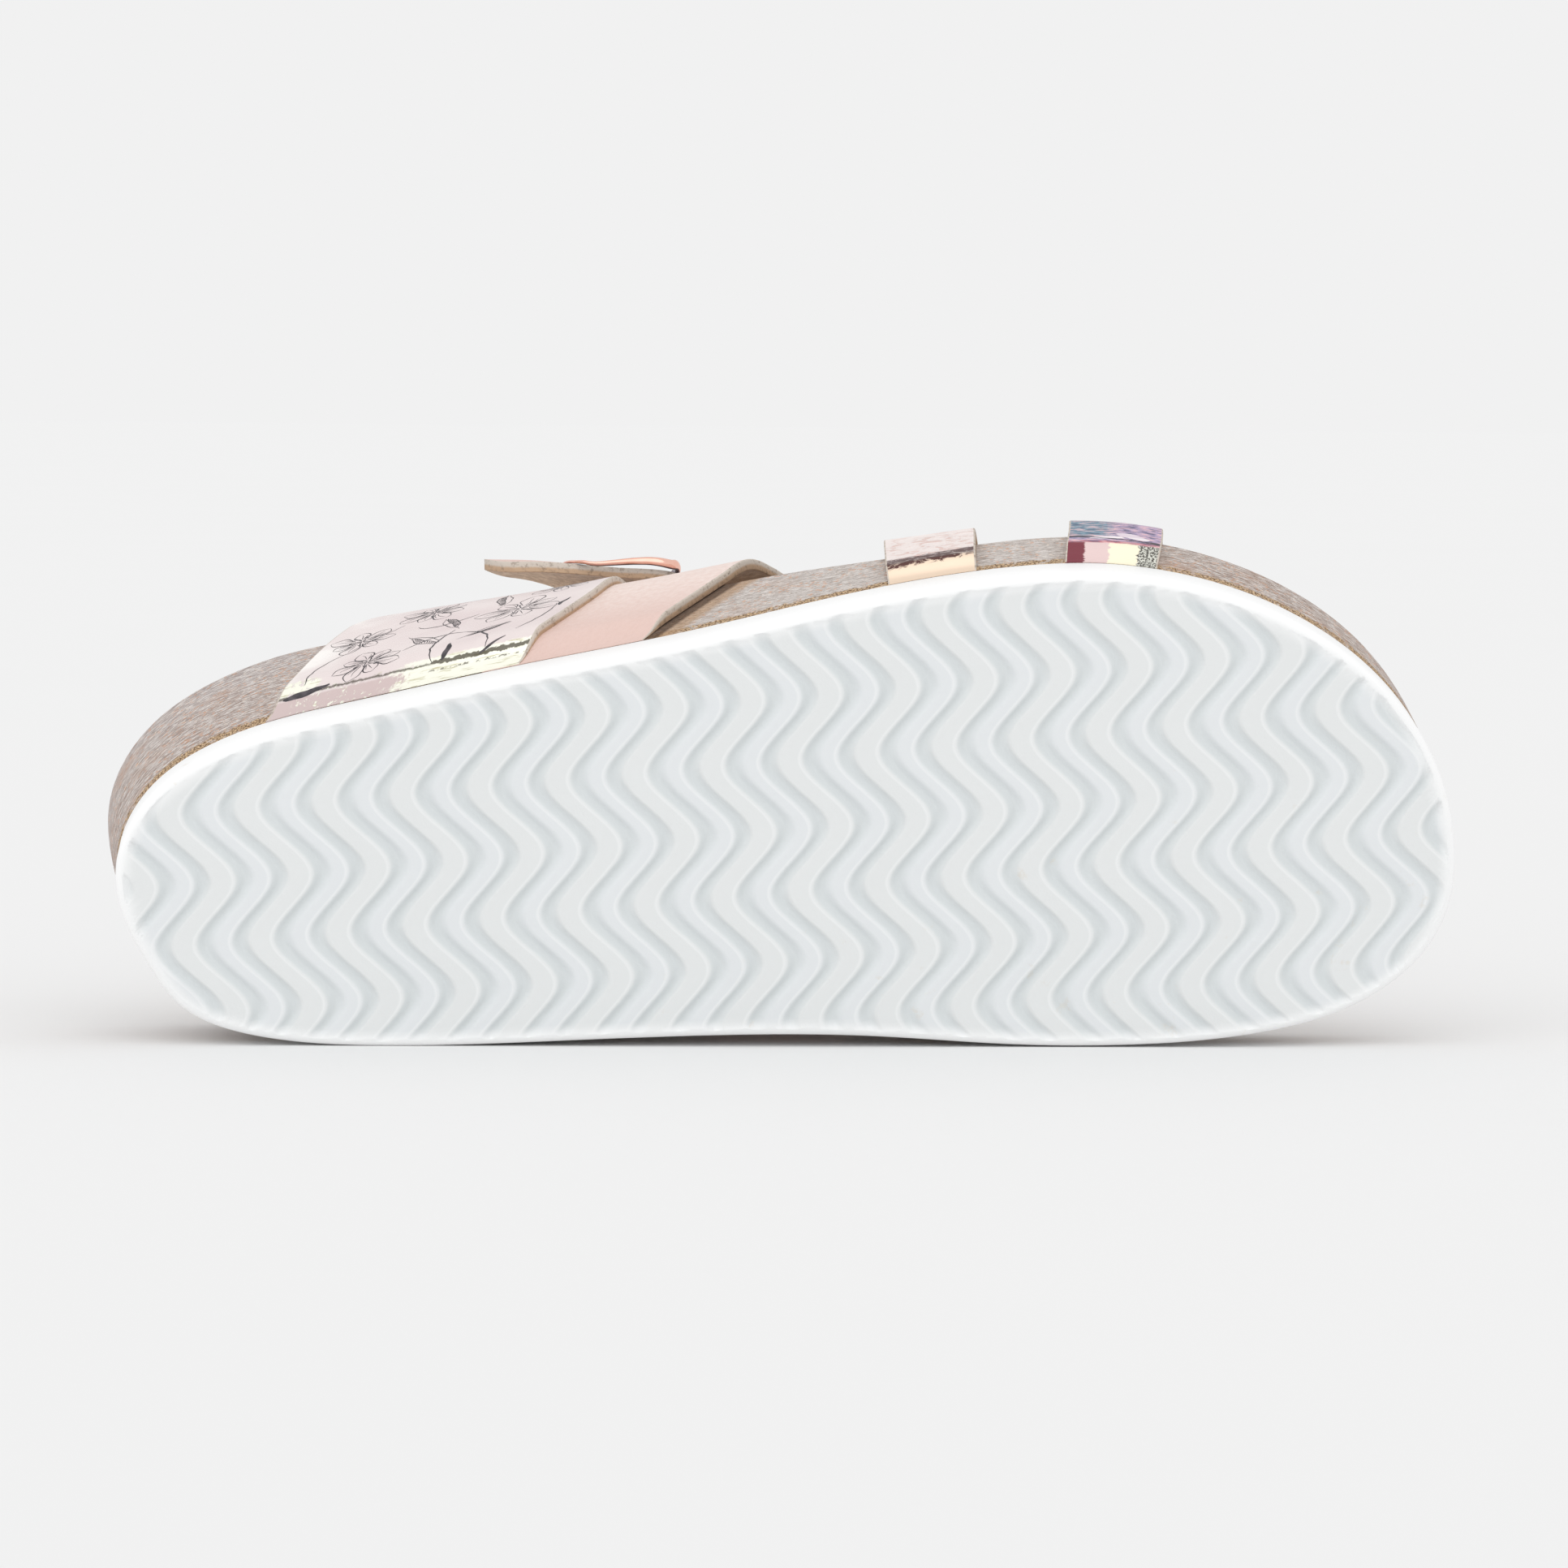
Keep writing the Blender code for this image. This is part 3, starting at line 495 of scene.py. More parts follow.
unwrap(footbed, np.stack([np.broadcast_to(along, (rows, count)), climbed], axis=-1) * 0.1)
paint(footbed, "above_sole", tall - SOLE)
paint(footbed, "below_rim", np.broadcast_to(SOLE + high, (rows, count)) - tall)
paint(footbed, "along", np.broadcast_to(bed_points[0, :, 0] / LENGTH, (rows, count)))
cork, shader, where, surface = finish("weathered_cork", roughness=0.85, Specular_IOR_Level=0.25)
streaks = surface.stretch(0.42, 3.0).noise(8.0, 5, 0.75, 0.4)
fine = surface.stretch(0.4, 4.0).noise(16, 4, 0.75)
broad = surface.stretch(0.35, 0.7).noise(1.4, 2)
place = reads(where, "along")
waist = place.step(0.16, 0.36).blend(colour(168, 151, 143), colour(190, 181, 175))
toe = place.step(0.70, 0.84).blend(waist, colour(166, 148, 138))
weather = reads(where, "above_sole").step(13, 26) * 0.55
faded = weather.blend(toe, colour(178, 170, 170))
pale = (streaks.step(0.46, 0.55) * 0.9).blend(faded, colour(228, 222, 218))
dark = (fine.step(0.48, 0.38) * 0.8).blend(pale, colour(120, 100, 88))
warm = (broad.step(0.5, 0.75) * 0.35).blend(dark, colour(186, 146, 120))
spots = surface.stretch(0.8, 1.5).cells(10)
specks = spots.step(0.36, 0.22) * surface.noise(2.2, 3).step(0.42, 0.56)
bright = surface.stretch(0.8, 1.4).cells(12).step(0.26, 0.16)
bright = bright * surface.noise(3.1, 2).step(0.5, 0.6)
speckled = (specks * 0.75).blend(warm, colour(212, 158, 122))
speckled = (bright * 0.8).blend(speckled, colour(240, 224, 206))
ragged = surface.noise(9, 4)
strong = place.near(0.085, 0.10) * 0.9 + place.step(0.86, 0.94) * 0.7
raw = (reads(where, "above_sole") - ragged * 3.0 - strong).step(1.0, 0.2)
raw_rim = (reads(where, "below_rim") - ragged * 1.6).step(0.8, 0.1)
crumb = surface.noise(22, 3).step(0.42, 0.58).blend(colour(112, 84, 58), colour(214, 184, 146))
broken = surface.noise(5, 3).step(0.30, 0.48)
crumbly = (raw * 0.95).most(raw_rim * 0.75) * broken
# beside the front edge of the blush strap the cork is in its shade, then tanned
beside = reads(where, "past_strap")
shaded = beside.step(3.4, 2.0) * beside.step(-4.0, -3.0)
lit_tan = beside.step(8.0, 5.0) * beside.step(1.0, 3.0)
fibre = fine.step(0.40, 0.60)
tan = fibre.blend(colour(150, 118, 90), colour(206, 172, 138))
brown = fibre.blend(colour(70, 52, 40), colour(120, 94, 72))
tanned = (lit_tan * 0.75).blend(crumbly.blend(speckled, crumb), tan)
feed(shader, Base_Color=(shaded * 0.9).blend(tanned, brown))
bump(shader, streaks * 0.5 + fine * 0.6 + surface.noise(24, 3) * 0.5 - specks * 0.3, 0.2)
footbed.data.materials.append(cork)
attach(footbed, "root")
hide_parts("footbed")

# Insole.
# A thin suede sock, cut to the shape of the bed inside the rim. It is glued down over the whole
# bed, with a soft nap that feet have darkened a little and a plain cut edge.
SOCK, SOCK_SOFT = 1.2, 0.4
edge = flare - RIM_WIDTH
seat = SOLE + high - RIM_ROUND / 2 + GAP
under = inward_rows(edge, np.linspace(0, 1, 30))
over = inward_rows(edge - SOCK_SOFT, np.linspace(1, 0, 80))
below, above = (bed_height(*np.moveaxis(plan, -1, 0))[..., None] + GAP for plan in (under, over))
under, over = np.concatenate([under, below], axis=-1), np.concatenate([over, above + SOCK], axis=-1)
cut = ring_rows(np.stack([edge, edge, edge - 0.12]), np.stack([seat, seat + 0.8, seat + 1.1]))
points = np.concatenate([under, cut, over])
rows = len(points)
insole = mesh_object("suede_sock", points, grid_faces(rows, count, around=True))
unwrap(insole, points[..., :2] * 0.1)
suede, shader, where, surface = finish(
    "tan_suede", roughness=0.95, Specular_IOR_Level=0.15, Sheen_Weight=0.35)
nap = surface.noise(55, 4, 0.65)
worn = surface.noise(2.2, 3)
tan = nap.step(0.3, 0.7).blend(colour(150, 116, 88), colour(186, 152, 122))
feed(shader, Base_Color=(worn.step(0.4, 0.7) * 0.5).blend(tan, colour(140, 108, 82)))
bump(shader, nap + surface.noise(160, 2) * 0.6, 0.12)
insole.data.materials.append(suede)
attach(insole, "root")
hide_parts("insole")

# Instep straps.
# Three bands of 2.2 mm leather over the instep: the wide flowered one, the plain blush one under
# its front, and the closure strap that comes over the top and ends in a free tail. Their faces
# are finished, their edges are cut raw, and they are lined with suede.
LEATHER, STRAP_GAP, CUT_ROUND, PROBE = 2.2, 0.4, 0.35, 0.5
TUCKED, TUCK_WRAP, SIDE_WRAP, END_WRAP = 0.08, 0.054, 0.18, 0.012
INSTEP = np.array((
    # station, crown, power of the arch
    (0.15, 78.0, 1.7),
    (0.30, 70.0, 1.7),
    (0.39, 66.0, 1.7),
    (0.48, 63.0, 2.1),
    (0.54, 57.0, 2.6),
    (0.60, 43.5, 2.6),
    (0.66, 37.0, 2.6),
    (0.74, 34.0, 2.6),
    (0.82, 31.0, 2.6),
))
FLOWERED = (
    # rear edge: x, wrap, lift; front edge: x, wrap, lift
    (31.1, 0.00, 0.0, 80.3, 0.00, 1.9),
    (47.4, 0.18, 0.0, 97.5, 0.18, 1.7),
    (67.5, 0.27, 0.0, 103.0, 0.29, 1.7),
    (80.0, 0.43, 0.0, 112.0, 0.43, 1.9),
    (81.0, 0.55, 0.0, 116.0, 0.55, 1.9),
    (70.0, 0.68, 0.0, 106.0, 0.68, 0.0),
    (56.0, 0.82, 0.0, 92.0, 0.82, 0.0),
    (46.0, 1.00, 0.0, 85.0, 1.00, 0.0),
)
BLUSH = (
    (73.0, 0.00, 0.0, 104.2, 0.00, 0.0),
    (82.0, 0.18, 0.0, 122.5, 0.18, 0.0),
    (95.0, 0.30, 0.0, 131.0, 0.30, 0.0),
    (106.0, 0.41, 0.0, 141.0, 0.41, 0.0),
    (112.0, 0.53, 0.0, 146.0, 0.53, 0.0),
    (114.0, 0.68, 0.0, 144.0, 0.68, 0.0),
    (112.0, 0.82, 0.0, 140.0, 0.82, 0.0),
    (108.0, 1.00, 0.0, 136.0, 1.00, 0.0),
)
CLOSURE = (
    (112.0, 0.76, 1.6, 130.0, 0.76, 1.6),
    (114.0, 0.66, 3.0, 132.0, 0.64, 1.8),
    (113.0, 0.55, 3.9, 131.0, 0.52, 2.0),
    (108.0, 0.445, 4.0, 126.0, 0.405, 2.6),
    (101.0, 0.375, 6.4, 113.0, 0.310, 4.0),
    (92.5, 0.358, 11.5, 100.0, 0.290, 6.3),
    (82.5, 0.350, 15.8, 86.5, 0.275, 8.2),
    (72.4, 0.340, 16.9, 74.3, 0.270, 9.3),
)


def smooth_rows(table, place):
    """The rows of a table as a Catmull-Rom curve, at places from 0, its first row, to 1."""
    rows = np.array(table, float)
    rows = np.vstack([2 * rows[0] - rows[1], rows, 2 * rows[-1] - rows[-2]])
    place = np.asarray(place) * (len(rows) - 3)
    i = np.clip(place.astype(int), 0, len(rows) - 4)
    t = (place - i)[..., None]
    p0, p1, p2, p3 = (rows[i + k] for k in range(4))
    cubic = (3 * p1 - p0 - 3 * p2 + p3) * t**3
    return 0.5 * (2 * p1 + (p2 - p0) * t + (2 * p0 - 5 * p1 + 4 * p2 - p3) * t**2 + cubic)


def foot(x, wrap):
    """The form under the straps: the side of the footbed up to each rim, an arch between them.

    Wrap runs over the foot from the lateral sole edge, 0, to the medial one, 1.
    """
    lateral, medial = np.interp(x, *LATERAL.T), np.interp(x, *MEDIAL.T)
    share = np.clip((wrap - SIDE_WRAP) / (1 - 2 * SIDE_WRAP), 0, 1)
    up = np.clip(np.minimum(wrap, 1 - wrap) / SIDE_WRAP, 0, 1)
    blend = share * share * (3 - 2 * share)
    rim = (1 - blend) * column(RIM, 2, x) + blend * column(RIM, 1, x)
    flare = (1 - blend) * column(RIM, 4, x) + blend * column(RIM, 3, x)
    half = (medial - lateral) / 2 + flare * up
    turn = math.pi * share
    power = 2 / column(INSTEP, 2, x)
    sideways = -np.sign(np.cos(turn)) * np.abs(np.cos(turn)) ** power
    z = SOLE + GAP + (rim - GAP) * up + (column(INSTEP, 1, x) - rim) * np.sin(turn)
    return np.stack([x, (lateral + medial) / 2 + half * sideways, z], axis=-1)


def over_foot(x, wrap, lift):
    """A point that stands the given lift off the foot's form, along its normal."""
    inside = np.clip(wrap, END_WRAP, 1 - END_WRAP)
    along = foot(x + PROBE, wrap) - foot(x - PROBE, wrap)
    round_foot = foot(x, inside + END_WRAP) - foot(x, inside - END_WRAP)
    normal = np.cross(along, round_foot)
    normal /= np.linalg.norm(normal, axis=-1)[..., None]
    return foot(x, wrap) + normal * lift[..., None]


def on_strap(table, place, share, lift):
    """Points of a strap: place along it, share across it from rear to front, lift off the foot."""
    rows = smooth_rows(table, place)
    rear, front = rows[..., :3], rows[..., 3:]
    x, wrap, raised = np.moveaxis(rear + (front - rear) * share[..., None], -1, 0)
    wrap = np.clip(wrap, 0, 1)
    free = np.clip(np.minimum(wrap, 1 - wrap) / TUCK_WRAP, 0, 1)
    free = free * free * (3 - 2 * free)
    return over_foot(x, wrap, (raised + lift) * (TUCKED + (1 - TUCKED) * free))


def strap_object(name, table, finishes, steps=200, wide=44, tip=0.0):
    """A strap with a finished face, cut edges and a lined back, as one loop carried along it.

    The loop goes over the face, round an edge with softened corners, back under it and up again.
    """
    face = np.linspace(0, 1, wide)
    turn = np.linspace(0, math.pi / 2, 4)[1:]
    place = np.linspace(0, 1, steps)
    middle = on_strap(table, place, np.full(steps, 0.5), np.full(steps, STRAP_GAP))
    width = np.linalg.norm(
        on_strap(table, place, np.ones(steps), np.full(steps, STRAP_GAP))
        - on_strap(table, place, np.zeros(steps), np.full(steps, STRAP_GAP)), axis=1)
    round_in = CUT_ROUND / width.mean()
    share = np.concatenate([
        round_in + (1 - 2 * round_in) * face,
        1 - round_in + round_in * np.sin(turn), 1 - round_in + round_in * np.cos(turn),
        (1 - round_in) - (1 - 2 * round_in) * face,
        round_in - round_in * np.sin(turn), round_in - round_in * np.cos(turn),
    ])
    top, low = STRAP_GAP + LEATHER, STRAP_GAP
    near, far = CUT_ROUND * (1 - np.cos(turn)), CUT_ROUND * (1 - np.sin(turn))
    lift = np.concatenate([
        np.full(wide, top), top - near, low + far, np.full(wide, low), low + near, top - far,
    ])
    place, share = np.meshgrid(place, share, indexing="ij")
    lift = np.broadcast_to(lift, share.shape)
    if tip:
        square = np.clip(1 - (1 - place) / tip, 0, 1)
        share = 0.5 + (share - 0.5) * np.sqrt(1 - 0.96 * square**2)
    points = on_strap(table, place, share, lift)
    count = points.shape[1]
    faces = grid_faces(steps, count, around=True)
    caps = [tuple(range(count))[::-1], tuple(range((steps - 1) * count, steps * count))]
    strap = mesh_object(name, points, [*faces[:, ::-1], *(cap[::-1] for cap in caps)], 50)
    run = np.concatenate([[0], np.cumsum(np.linalg.norm(np.diff(middle, axis=0), axis=1))])
    along = np.broadcast_to(run[:, None], share.shape)
    unwrap(strap, np.stack([along, share * width.mean()], axis=-1) * 0.1)
    paint(strap, "from_sole", np.minimum(along, run[-1] - along))
    paint(strap, "through", (top - lift) / LEATHER)
    kind = np.zeros(count, int)
    kind[wide - 1: wide + 6] = 1
    kind[wide + 6: 2 * wide + 5] = 2
    kind[2 * wide + 5:] = 1
    index = np.concatenate([np.tile(kind, steps - 1), [0, 1 if tip else 0]])
    strap.data.polygons.foreach_set("material_index", index.astype(np.int32))
    for material in finishes:
        strap.data.materials.append(material)
    return strap


raw_edge, shader, where, surface = finish("cut_leather_edge", roughness=0.9, Specular_IOR_Level=0.2)
grit = where.noise(900, 4, 0.7)
layers = (reads(where, "through") + grit * 0.25).step(0.5, 0.75)
pith = layers.blend(colour(206, 196, 185), colour(192, 164, 137))
feed(shader, Base_Color=(grit.step(0.5, 0.32) * 0.6).blend(pith, colour(126, 108, 92)))
bump(shader, grit, 0.2)

lining, shader, where, surface = finish(
    "suede_lining", roughness=0.95, Specular_IOR_Level=0.15, Sheen_Weight=0.3)
nap = where.noise(700, 4, 0.7)
feed(shader, Base_Color=nap.step(0.3, 0.7).blend(colour(182, 152, 122), colour(224, 198, 170)))
bump(shader, nap, 0.15)

flowered, shader, where, surface = finish("flowered_leather", roughness=0.5, Specular_IOR_Level=0.4)
across = surface.part(1)
fold = reads(where, "from_sole")
blotch = surface.noise(0.8, 3)
lilac = blotch.step(0.3, 0.7).blend(colour(231, 220, 218), colour(222, 208, 207))
crackle = surface.stretch(1.0, 1.8).noise(4.5, 5, 0.7)
# painted highlight: patches of near white along the rear edge of the strap
bright = (across.step(0.9, 0.1) * blotch.step(0.4, 0.6) * 0.8).blend(lilac, colour(252, 250, 246))
# foil: a band along the front half of the fold, flecks behind it and a patch at the rear corner
flecks = crackle.step(0.55, 0.59) * surface.noise(1.3, 2).step(0.42, 0.50) * fold.step(7.5, 5)
band = (fold + crackle * 2).step(8.6, 7.8) * (across + crackle * 1.4).step(2.5, 2.75)
corner = fold.near(8.0, 4.0) * across.step(0.9, 0.2) * crackle.step(0.40, 0.48)
foil = band.most(flecks).most(corner.step(0.3, 0.5))
mauve = (fold + crackle).step(5.8, 5.0).blend(bright, colour(205, 186, 184))
brushed_gold = surface.stretch(5.0, 0.8).noise(2.6, 4, 0.65)
gold = brushed_gold.step(0.54, 0.66).blend(colour(254, 253, 238), colour(205, 200, 166))
# dark lines where the fold breaks the print
in_front = (across + crackle).step(2.7, 3.1)
crease = fold.near(crackle * 1.6 + 4.9, 0.6) * across.step(2.6, 2.2) * crackle.step(0.30, 0.44)
streak = fold.near(crackle * 2.4 + 4.6, 0.9) * in_front
under = fold.near(crackle * 3.0 + 2.2, 0.35) * crackle.step(0.46, 0.56) * in_front
dark = crease.most(streak.step(0.1, 0.5)).most(under)
printed = foil.blend(mauve, gold)
inked = (dark * 0.88).blend(printed, colour(72, 64, 48))
feed(shader, Base_Color=inked, Metallic=foil * 0.4, Roughness=0.5 - foil * 0.25)
bump(shader, surface.cells(11) * 0.4 + surface.noise(30, 3) * 0.3 + foil * 0.5, 0.07)

blush, shader, where, surface = finish("blush_leather", roughness=0.55, Specular_IOR_Level=0.3)
pebble = surface.cells(13)
rosy = reads(where, "from_sole").step(2, 34).blend(colour(224, 196, 187), colour(239, 223, 216))
blot = (surface.noise(9, 3).step(0.3, 0.7) * 0.4).blend(rosy, colour(220, 190, 180))
feed(shader, Base_Color=blot, Roughness=pebble * 0.2 + 0.48)
bump(shader, pebble + surface.noise(50, 2) * 0.3, 0.09)

# how far each point of the cork lies in front of the blush strap, on the lateral side
up_side = np.clip((tall - SOLE) / high, 0, 1) * SIDE_WRAP
front = smooth_rows(BLUSH, np.linspace(0, 0.2, 60))
past = bed_points[..., 0] - np.interp(up_side, front[:, 4], front[:, 3])
paint(footbed, "past_strap", np.where(bed_points[..., 1] < 0, past, -50.0))
flower_strap = strap_object("flowered_strap", FLOWERED, (flowered, raw_edge, lining))
blush_strap = strap_object("blush_strap", BLUSH, (blush, raw_edge, lining))
closure_strap = strap_object(
    "closure_strap", CLOSURE, (blush, raw_edge, lining), steps=160, wide=24, tip=0.07)

# Printed flowers.
# Fine dark line drawing printed on the wide strap: open flowers with stamens, hatched leaves,
# curved stems and buds. Every pen stroke is a thin tapered ribbon that lies on the leather.
PRINT_WIDTH, INK_LIFT, INK_WEIGHT, HAND_WOBBLE, STROKE_POINTS = 42.0, 0.03, 0.68, 0.10, 12
FLOWERS = (
    # along the strap, across it, radius, petals, turn
    (11.5, 13.0, 5.4, 8, 0.30),
    (24.0, 7.0, 5.2, 7, 0.55),
    (40.5, 34.0, 5.6, 7, 0.35),
    (27.0, 31.5, 6.6, 7, 0.90),
    (34.0, 14.5, 5.2, 8, 0.10),
    (52.0, 30.0, 6.0, 7, 0.50),
    (60.0, 11.0, 5.6, 8, 0.20),
    (80.0, 24.0, 6.4, 7, 0.70),
    (99.0, 11.0, 5.4, 8, 0.40),
    (110.0, 31.0, 6.0, 7, 0.15),
    (131.0, 17.0, 6.2, 8, 0.60),
    (150.0, 31.0, 5.4, 7, 0.35),
    (166.0, 12.0, 6.0, 8, 0.80),
    (184.0, 27.0, 5.6, 7, 0.25),
)
LEAVES = (
    # along, across, length, angle
    (20.0, 17.0, 9.0, 2.30),
    (21.5, 23.5, 8.0, -0.60),
    (14.0, 28.0, 7.0, 0.90),
    (40.0, 24.0, 9.0, 2.80),
    (44.0, 7.0, 8.0, 0.40),
    (66.0, 22.0, 9.0, -0.80),
    (88.0, 34.0, 8.0, 0.20),
    (90.0, 16.0, 9.0, 2.10),
    (120.0, 24.0, 9.0, -0.50),
    (142.0, 22.0, 8.0, 0.90),
    (158.0, 24.0, 9.0, 2.60),
    (176.0, 17.0, 8.0, -0.30),
)
STEMS = (
    # along, across: start, bend and end, then the width
    (13.5, 18.0, 20.0, 21.0, 17.0, 27.0, 0.22),
    (17.0, 27.0, 14.0, 33.0, 7.0, 34.0, 0.26),
    (20.0, 24.0, 12.0, 22.0, 6.0, 25.5, 0.24),
    (28.0, 24.5, 22.0, 19.0, 26.0, 15.5, 0.20),
    (8.0, 4.0, 14.0, 2.0, 19.0, 7.0, 0.18),
    (19.0, 7.0, 24.0, 9.0, 29.0, 12.0, 0.16),
    (12.0, 37.0, 18.0, 40.0, 26.0, 38.0, 0.20),
    (40.0, 15.0, 46.0, 21.0, 47.0, 28.0, 0.22),
    (57.0, 26.0, 62.0, 24.0, 61.0, 17.0, 0.20),
    (65.0, 13.0, 74.0, 12.0, 77.0, 18.0, 0.22),
    (86.0, 22.0, 94.0, 22.0, 97.0, 16.0, 0.20),
    (104.0, 13.0, 112.0, 18.0, 111.0, 25.0, 0.22),
    (116.0, 30.0, 125.0, 30.0, 129.0, 23.0, 0.20),
    (137.0, 18.0, 146.0, 20.0, 148.0, 26.0, 0.22),
    (155.0, 29.0, 163.0, 26.0, 165.0, 18.0, 0.20),
    (172.0, 14.0, 181.0, 16.0, 183.0, 22.0, 0.22),
)
BUDS = (
    # along, across: start, bend and end, then the width
    (6.0, 27.0, 8.5, 27.6, 11.5, 26.6, 0.75),
    (5.4, 1.2, 5.2, 4.6, 6.6, 8.4, 1.25),
    (5.5, 33.5, 7.5, 34.6, 9.0, 36.6, 0.50),
    (24.0, 39.0, 26.0, 38.4, 28.5, 39.2, 0.55),
    (46.0, 36.0, 48.0, 37.0, 50.0, 36.4, 0.60),
    (73.0, 34.0, 75.0, 33.0, 77.0, 33.4, 0.60),
    (122.0, 36.0, 124.0, 37.0, 126.0, 36.0, 0.60),
)


def spot(centre, angle, reach):
    """Points at an angle and a distance from a centre on the flat strap."""
    return np.stack([centre[0] + reach * np.cos(angle), centre[1] + reach * np.sin(angle)], axis=-1)


def stroke_rows(start, bend, end, width):
    """Pen strokes as rows of a table: start, bend, end and width."""
    return np.concatenate([start, bend, end, np.full((len(start), 1), width)], axis=1)


def flower_strokes(along, across, radius, petals, turn):
    """Petals outlined from the heart to the tip, each with two veins, and dotted stamens."""
    angle = turn + 2 * math.pi * np.arange(petals) / petals
    reach = radius * (1 + 0.14 * np.sin(3 * angle + 9 * turn))
    between = angle + math.pi / petals
    parts = (
        # angle, then turn and share of the reach at the start, bend and end, then the width
        (angle, (0, 0.22), (-0.62, 0.85), (0, 1.0), 0.12),
        (angle, (0, 0.22), (0.55, 0.90), (0, 1.0), 0.15),
        (angle, (0, 0.28), (0.1, 0.5), (-0.05, 0.80), 0.09),
        (angle, (0.15, 0.25), (0.3, 0.5), (0.2, 0.70), 0.08),
        (between, (0, 0.03), (0.2, 0.18), (0, 0.36), 0.17),
        (between, (0, 0.34), (0.1, 0.39), (0, 0.45), 0.30),
    )
    return np.concatenate([
        stroke_rows(*(spot((along, across), base + more, far * reach) for more, far in ends), width)
        for base, *ends, width in parts
    ])


def leaf_strokes(along, across, length, angle):
    """Two outlines and a midrib, with hatching from the midrib towards the tip on one side."""
    base, turn = (along, across), np.array([angle])
    tip = spot(base, turn, length)
    share = np.linspace(0.12, 0.85, 12)
    middle = spot(base, angle, length * share)
    out = spot(base, angle + 0.42 * (1 - share), length * (share + 0.16))
    return np.concatenate([
        stroke_rows(spot(base, turn, 0.0), spot(base, turn + 0.55, length * 0.6), tip, 0.14),
        stroke_rows(spot(base, turn, 0.0), spot(base, turn - 0.40, length * 0.6), tip, 0.12),
        stroke_rows(spot(base, turn + 3.1, 1.5), spot(base, turn + 0.03, length * 0.4), tip, 0.13),
        stroke_rows(middle, (middle + out) / 2, out, 0.13),
    ])


strokes = np.concatenate([
    *(flower_strokes(*flower) for flower in FLOWERS), *(leaf_strokes(*leaf) for leaf in LEAVES),
    np.array(STEMS), np.array(BUDS),
])
share = np.linspace(0, 1, STROKE_POINTS)[None, :, None]
start, bend, end, width = (strokes[:, None, k: k + 2] for k in (0, 2, 4, 6))
line = (1 - share) ** 2 * start + 2 * share * (1 - share) * bend + share**2 * end
line = line + HAND_WOBBLE * np.sin(line[..., ::-1] * 2.1 + 1.0)
ahead = np.gradient(line, axis=1)
normal = np.stack([-ahead[..., 1], ahead[..., 0]], axis=-1)
normal /= np.linalg.norm(normal, axis=-1, keepdims=True)
half = width * INK_WEIGHT * (0.25 + 0.75 * np.sin(math.pi * share**0.8))
ribbon = np.stack([line - normal * half, line + normal * half], axis=2)
steps = np.linspace(0, 1, 300)
centre = on_strap(FLOWERED, steps, 0 * steps + 0.5, 0 * steps + STRAP_GAP)
run = np.concatenate([[0], np.cumsum(np.linalg.norm(np.diff(centre, axis=0), axis=1))])
place = np.interp(ribbon[..., 0], run, steps)
lift = np.full(place.shape, STRAP_GAP + LEATHER + INK_LIFT)
points = on_strap(FLOWERED, place, np.clip(ribbon[..., 1] / PRINT_WIDTH, 0.01, 0.99), lift)
first = STROKE_POINTS * np.arange(len(strokes))[:, None] + np.arange(STROKE_POINTS - 1)
faces = 2 * first.reshape(-1, 1) + (0, 1, 3, 2)
ink_lines = mesh_object("printed_flowers", points, faces)
ink, shader, where, surface = finish("printing_ink", roughness=0.45, Specular_IOR_Level=0.3)
worn = where.noise(300, 3).step(0.35, 0.65)
feed(shader, Base_Color=worn.blend(colour(46, 44, 48), colour(92, 86, 90)))
ink_lines.data.materials.append(ink)

for strap in (flower_strap, blush_strap, closure_strap, ink_lines):
    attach(strap, "root")
    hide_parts("upper")

# Toe straps.
# Two narrow bands across the toes, tucked in at both sides: the rear one in crinkled rose gold
# foil, the front one printed in brushed colours with foil patches. Both are cut raw.
REAR_TOE = (
    (151.5, 0.00, 0.0, 168.5, 0.00, 0.0),
    (152.3, 0.18, 0.0, 169.9, 0.18, 0.0),
    (153.0, 0.35, 0.0, 171.0, 0.35, 0.0),
    (151.0, 0.50, 0.0, 169.5, 0.50, 0.0),
    (148.0, 0.65, 0.0, 166.0, 0.65, 0.0),
    (146.0, 0.82, 0.0, 163.5, 0.82, 0.0),
    (145.0, 1.00, 0.0, 162.0, 1.00, 0.0),
)
FRONT_TOE = (
    (185.4, 0.00, 0.0, 202.9, 0.00, 0.0),
    (187.8, 0.18, 0.0, 205.4, 0.18, 0.0),
    (189.0, 0.35, 0.0, 206.3, 0.35, 0.0),
    (186.0, 0.50, 0.0, 204.5, 0.50, 0.0),
    (180.0, 0.65, 0.0, 198.0, 0.65, 0.0),
    (175.0, 0.82, 0.0, 192.5, 0.82, 0.0),
    (172.5, 1.00, 0.0, 190.0, 1.00, 0.0),
)
rose_gold, shader, where, surface = finish("rose_gold_foil", roughness=0.3, metallic=0.6)
across = surface.part(1)
fold = reads(where, "from_sole")
crinkle = surface.stretch(2.2, 0.8).noise(3.6, 5, 0.62, 1.4)
shiny = fold.step(3.6, 5.0).blend(colour(241, 218, 195), colour(255, 243, 239))
creased = (crinkle.step(0.5, 0.40) * fold.step(4.2, 5.2) * 0.6).blend(shiny, colour(226, 184, 172))
band = fold.near(across * 0.35 + 3.2 + crinkle * 3.0, 2.4).step(0.15, 0.45)
band = band * (crinkle.step(0.62, 0.5) * 0.6 + 0.4)
feed(shader, Base_Color=band.blend(creased, colour(96, 64, 60)), Roughness=crinkle * 0.2 + 0.22)
bump(shader, crinkle * fold.step(4.0, 5.2), 0.6)

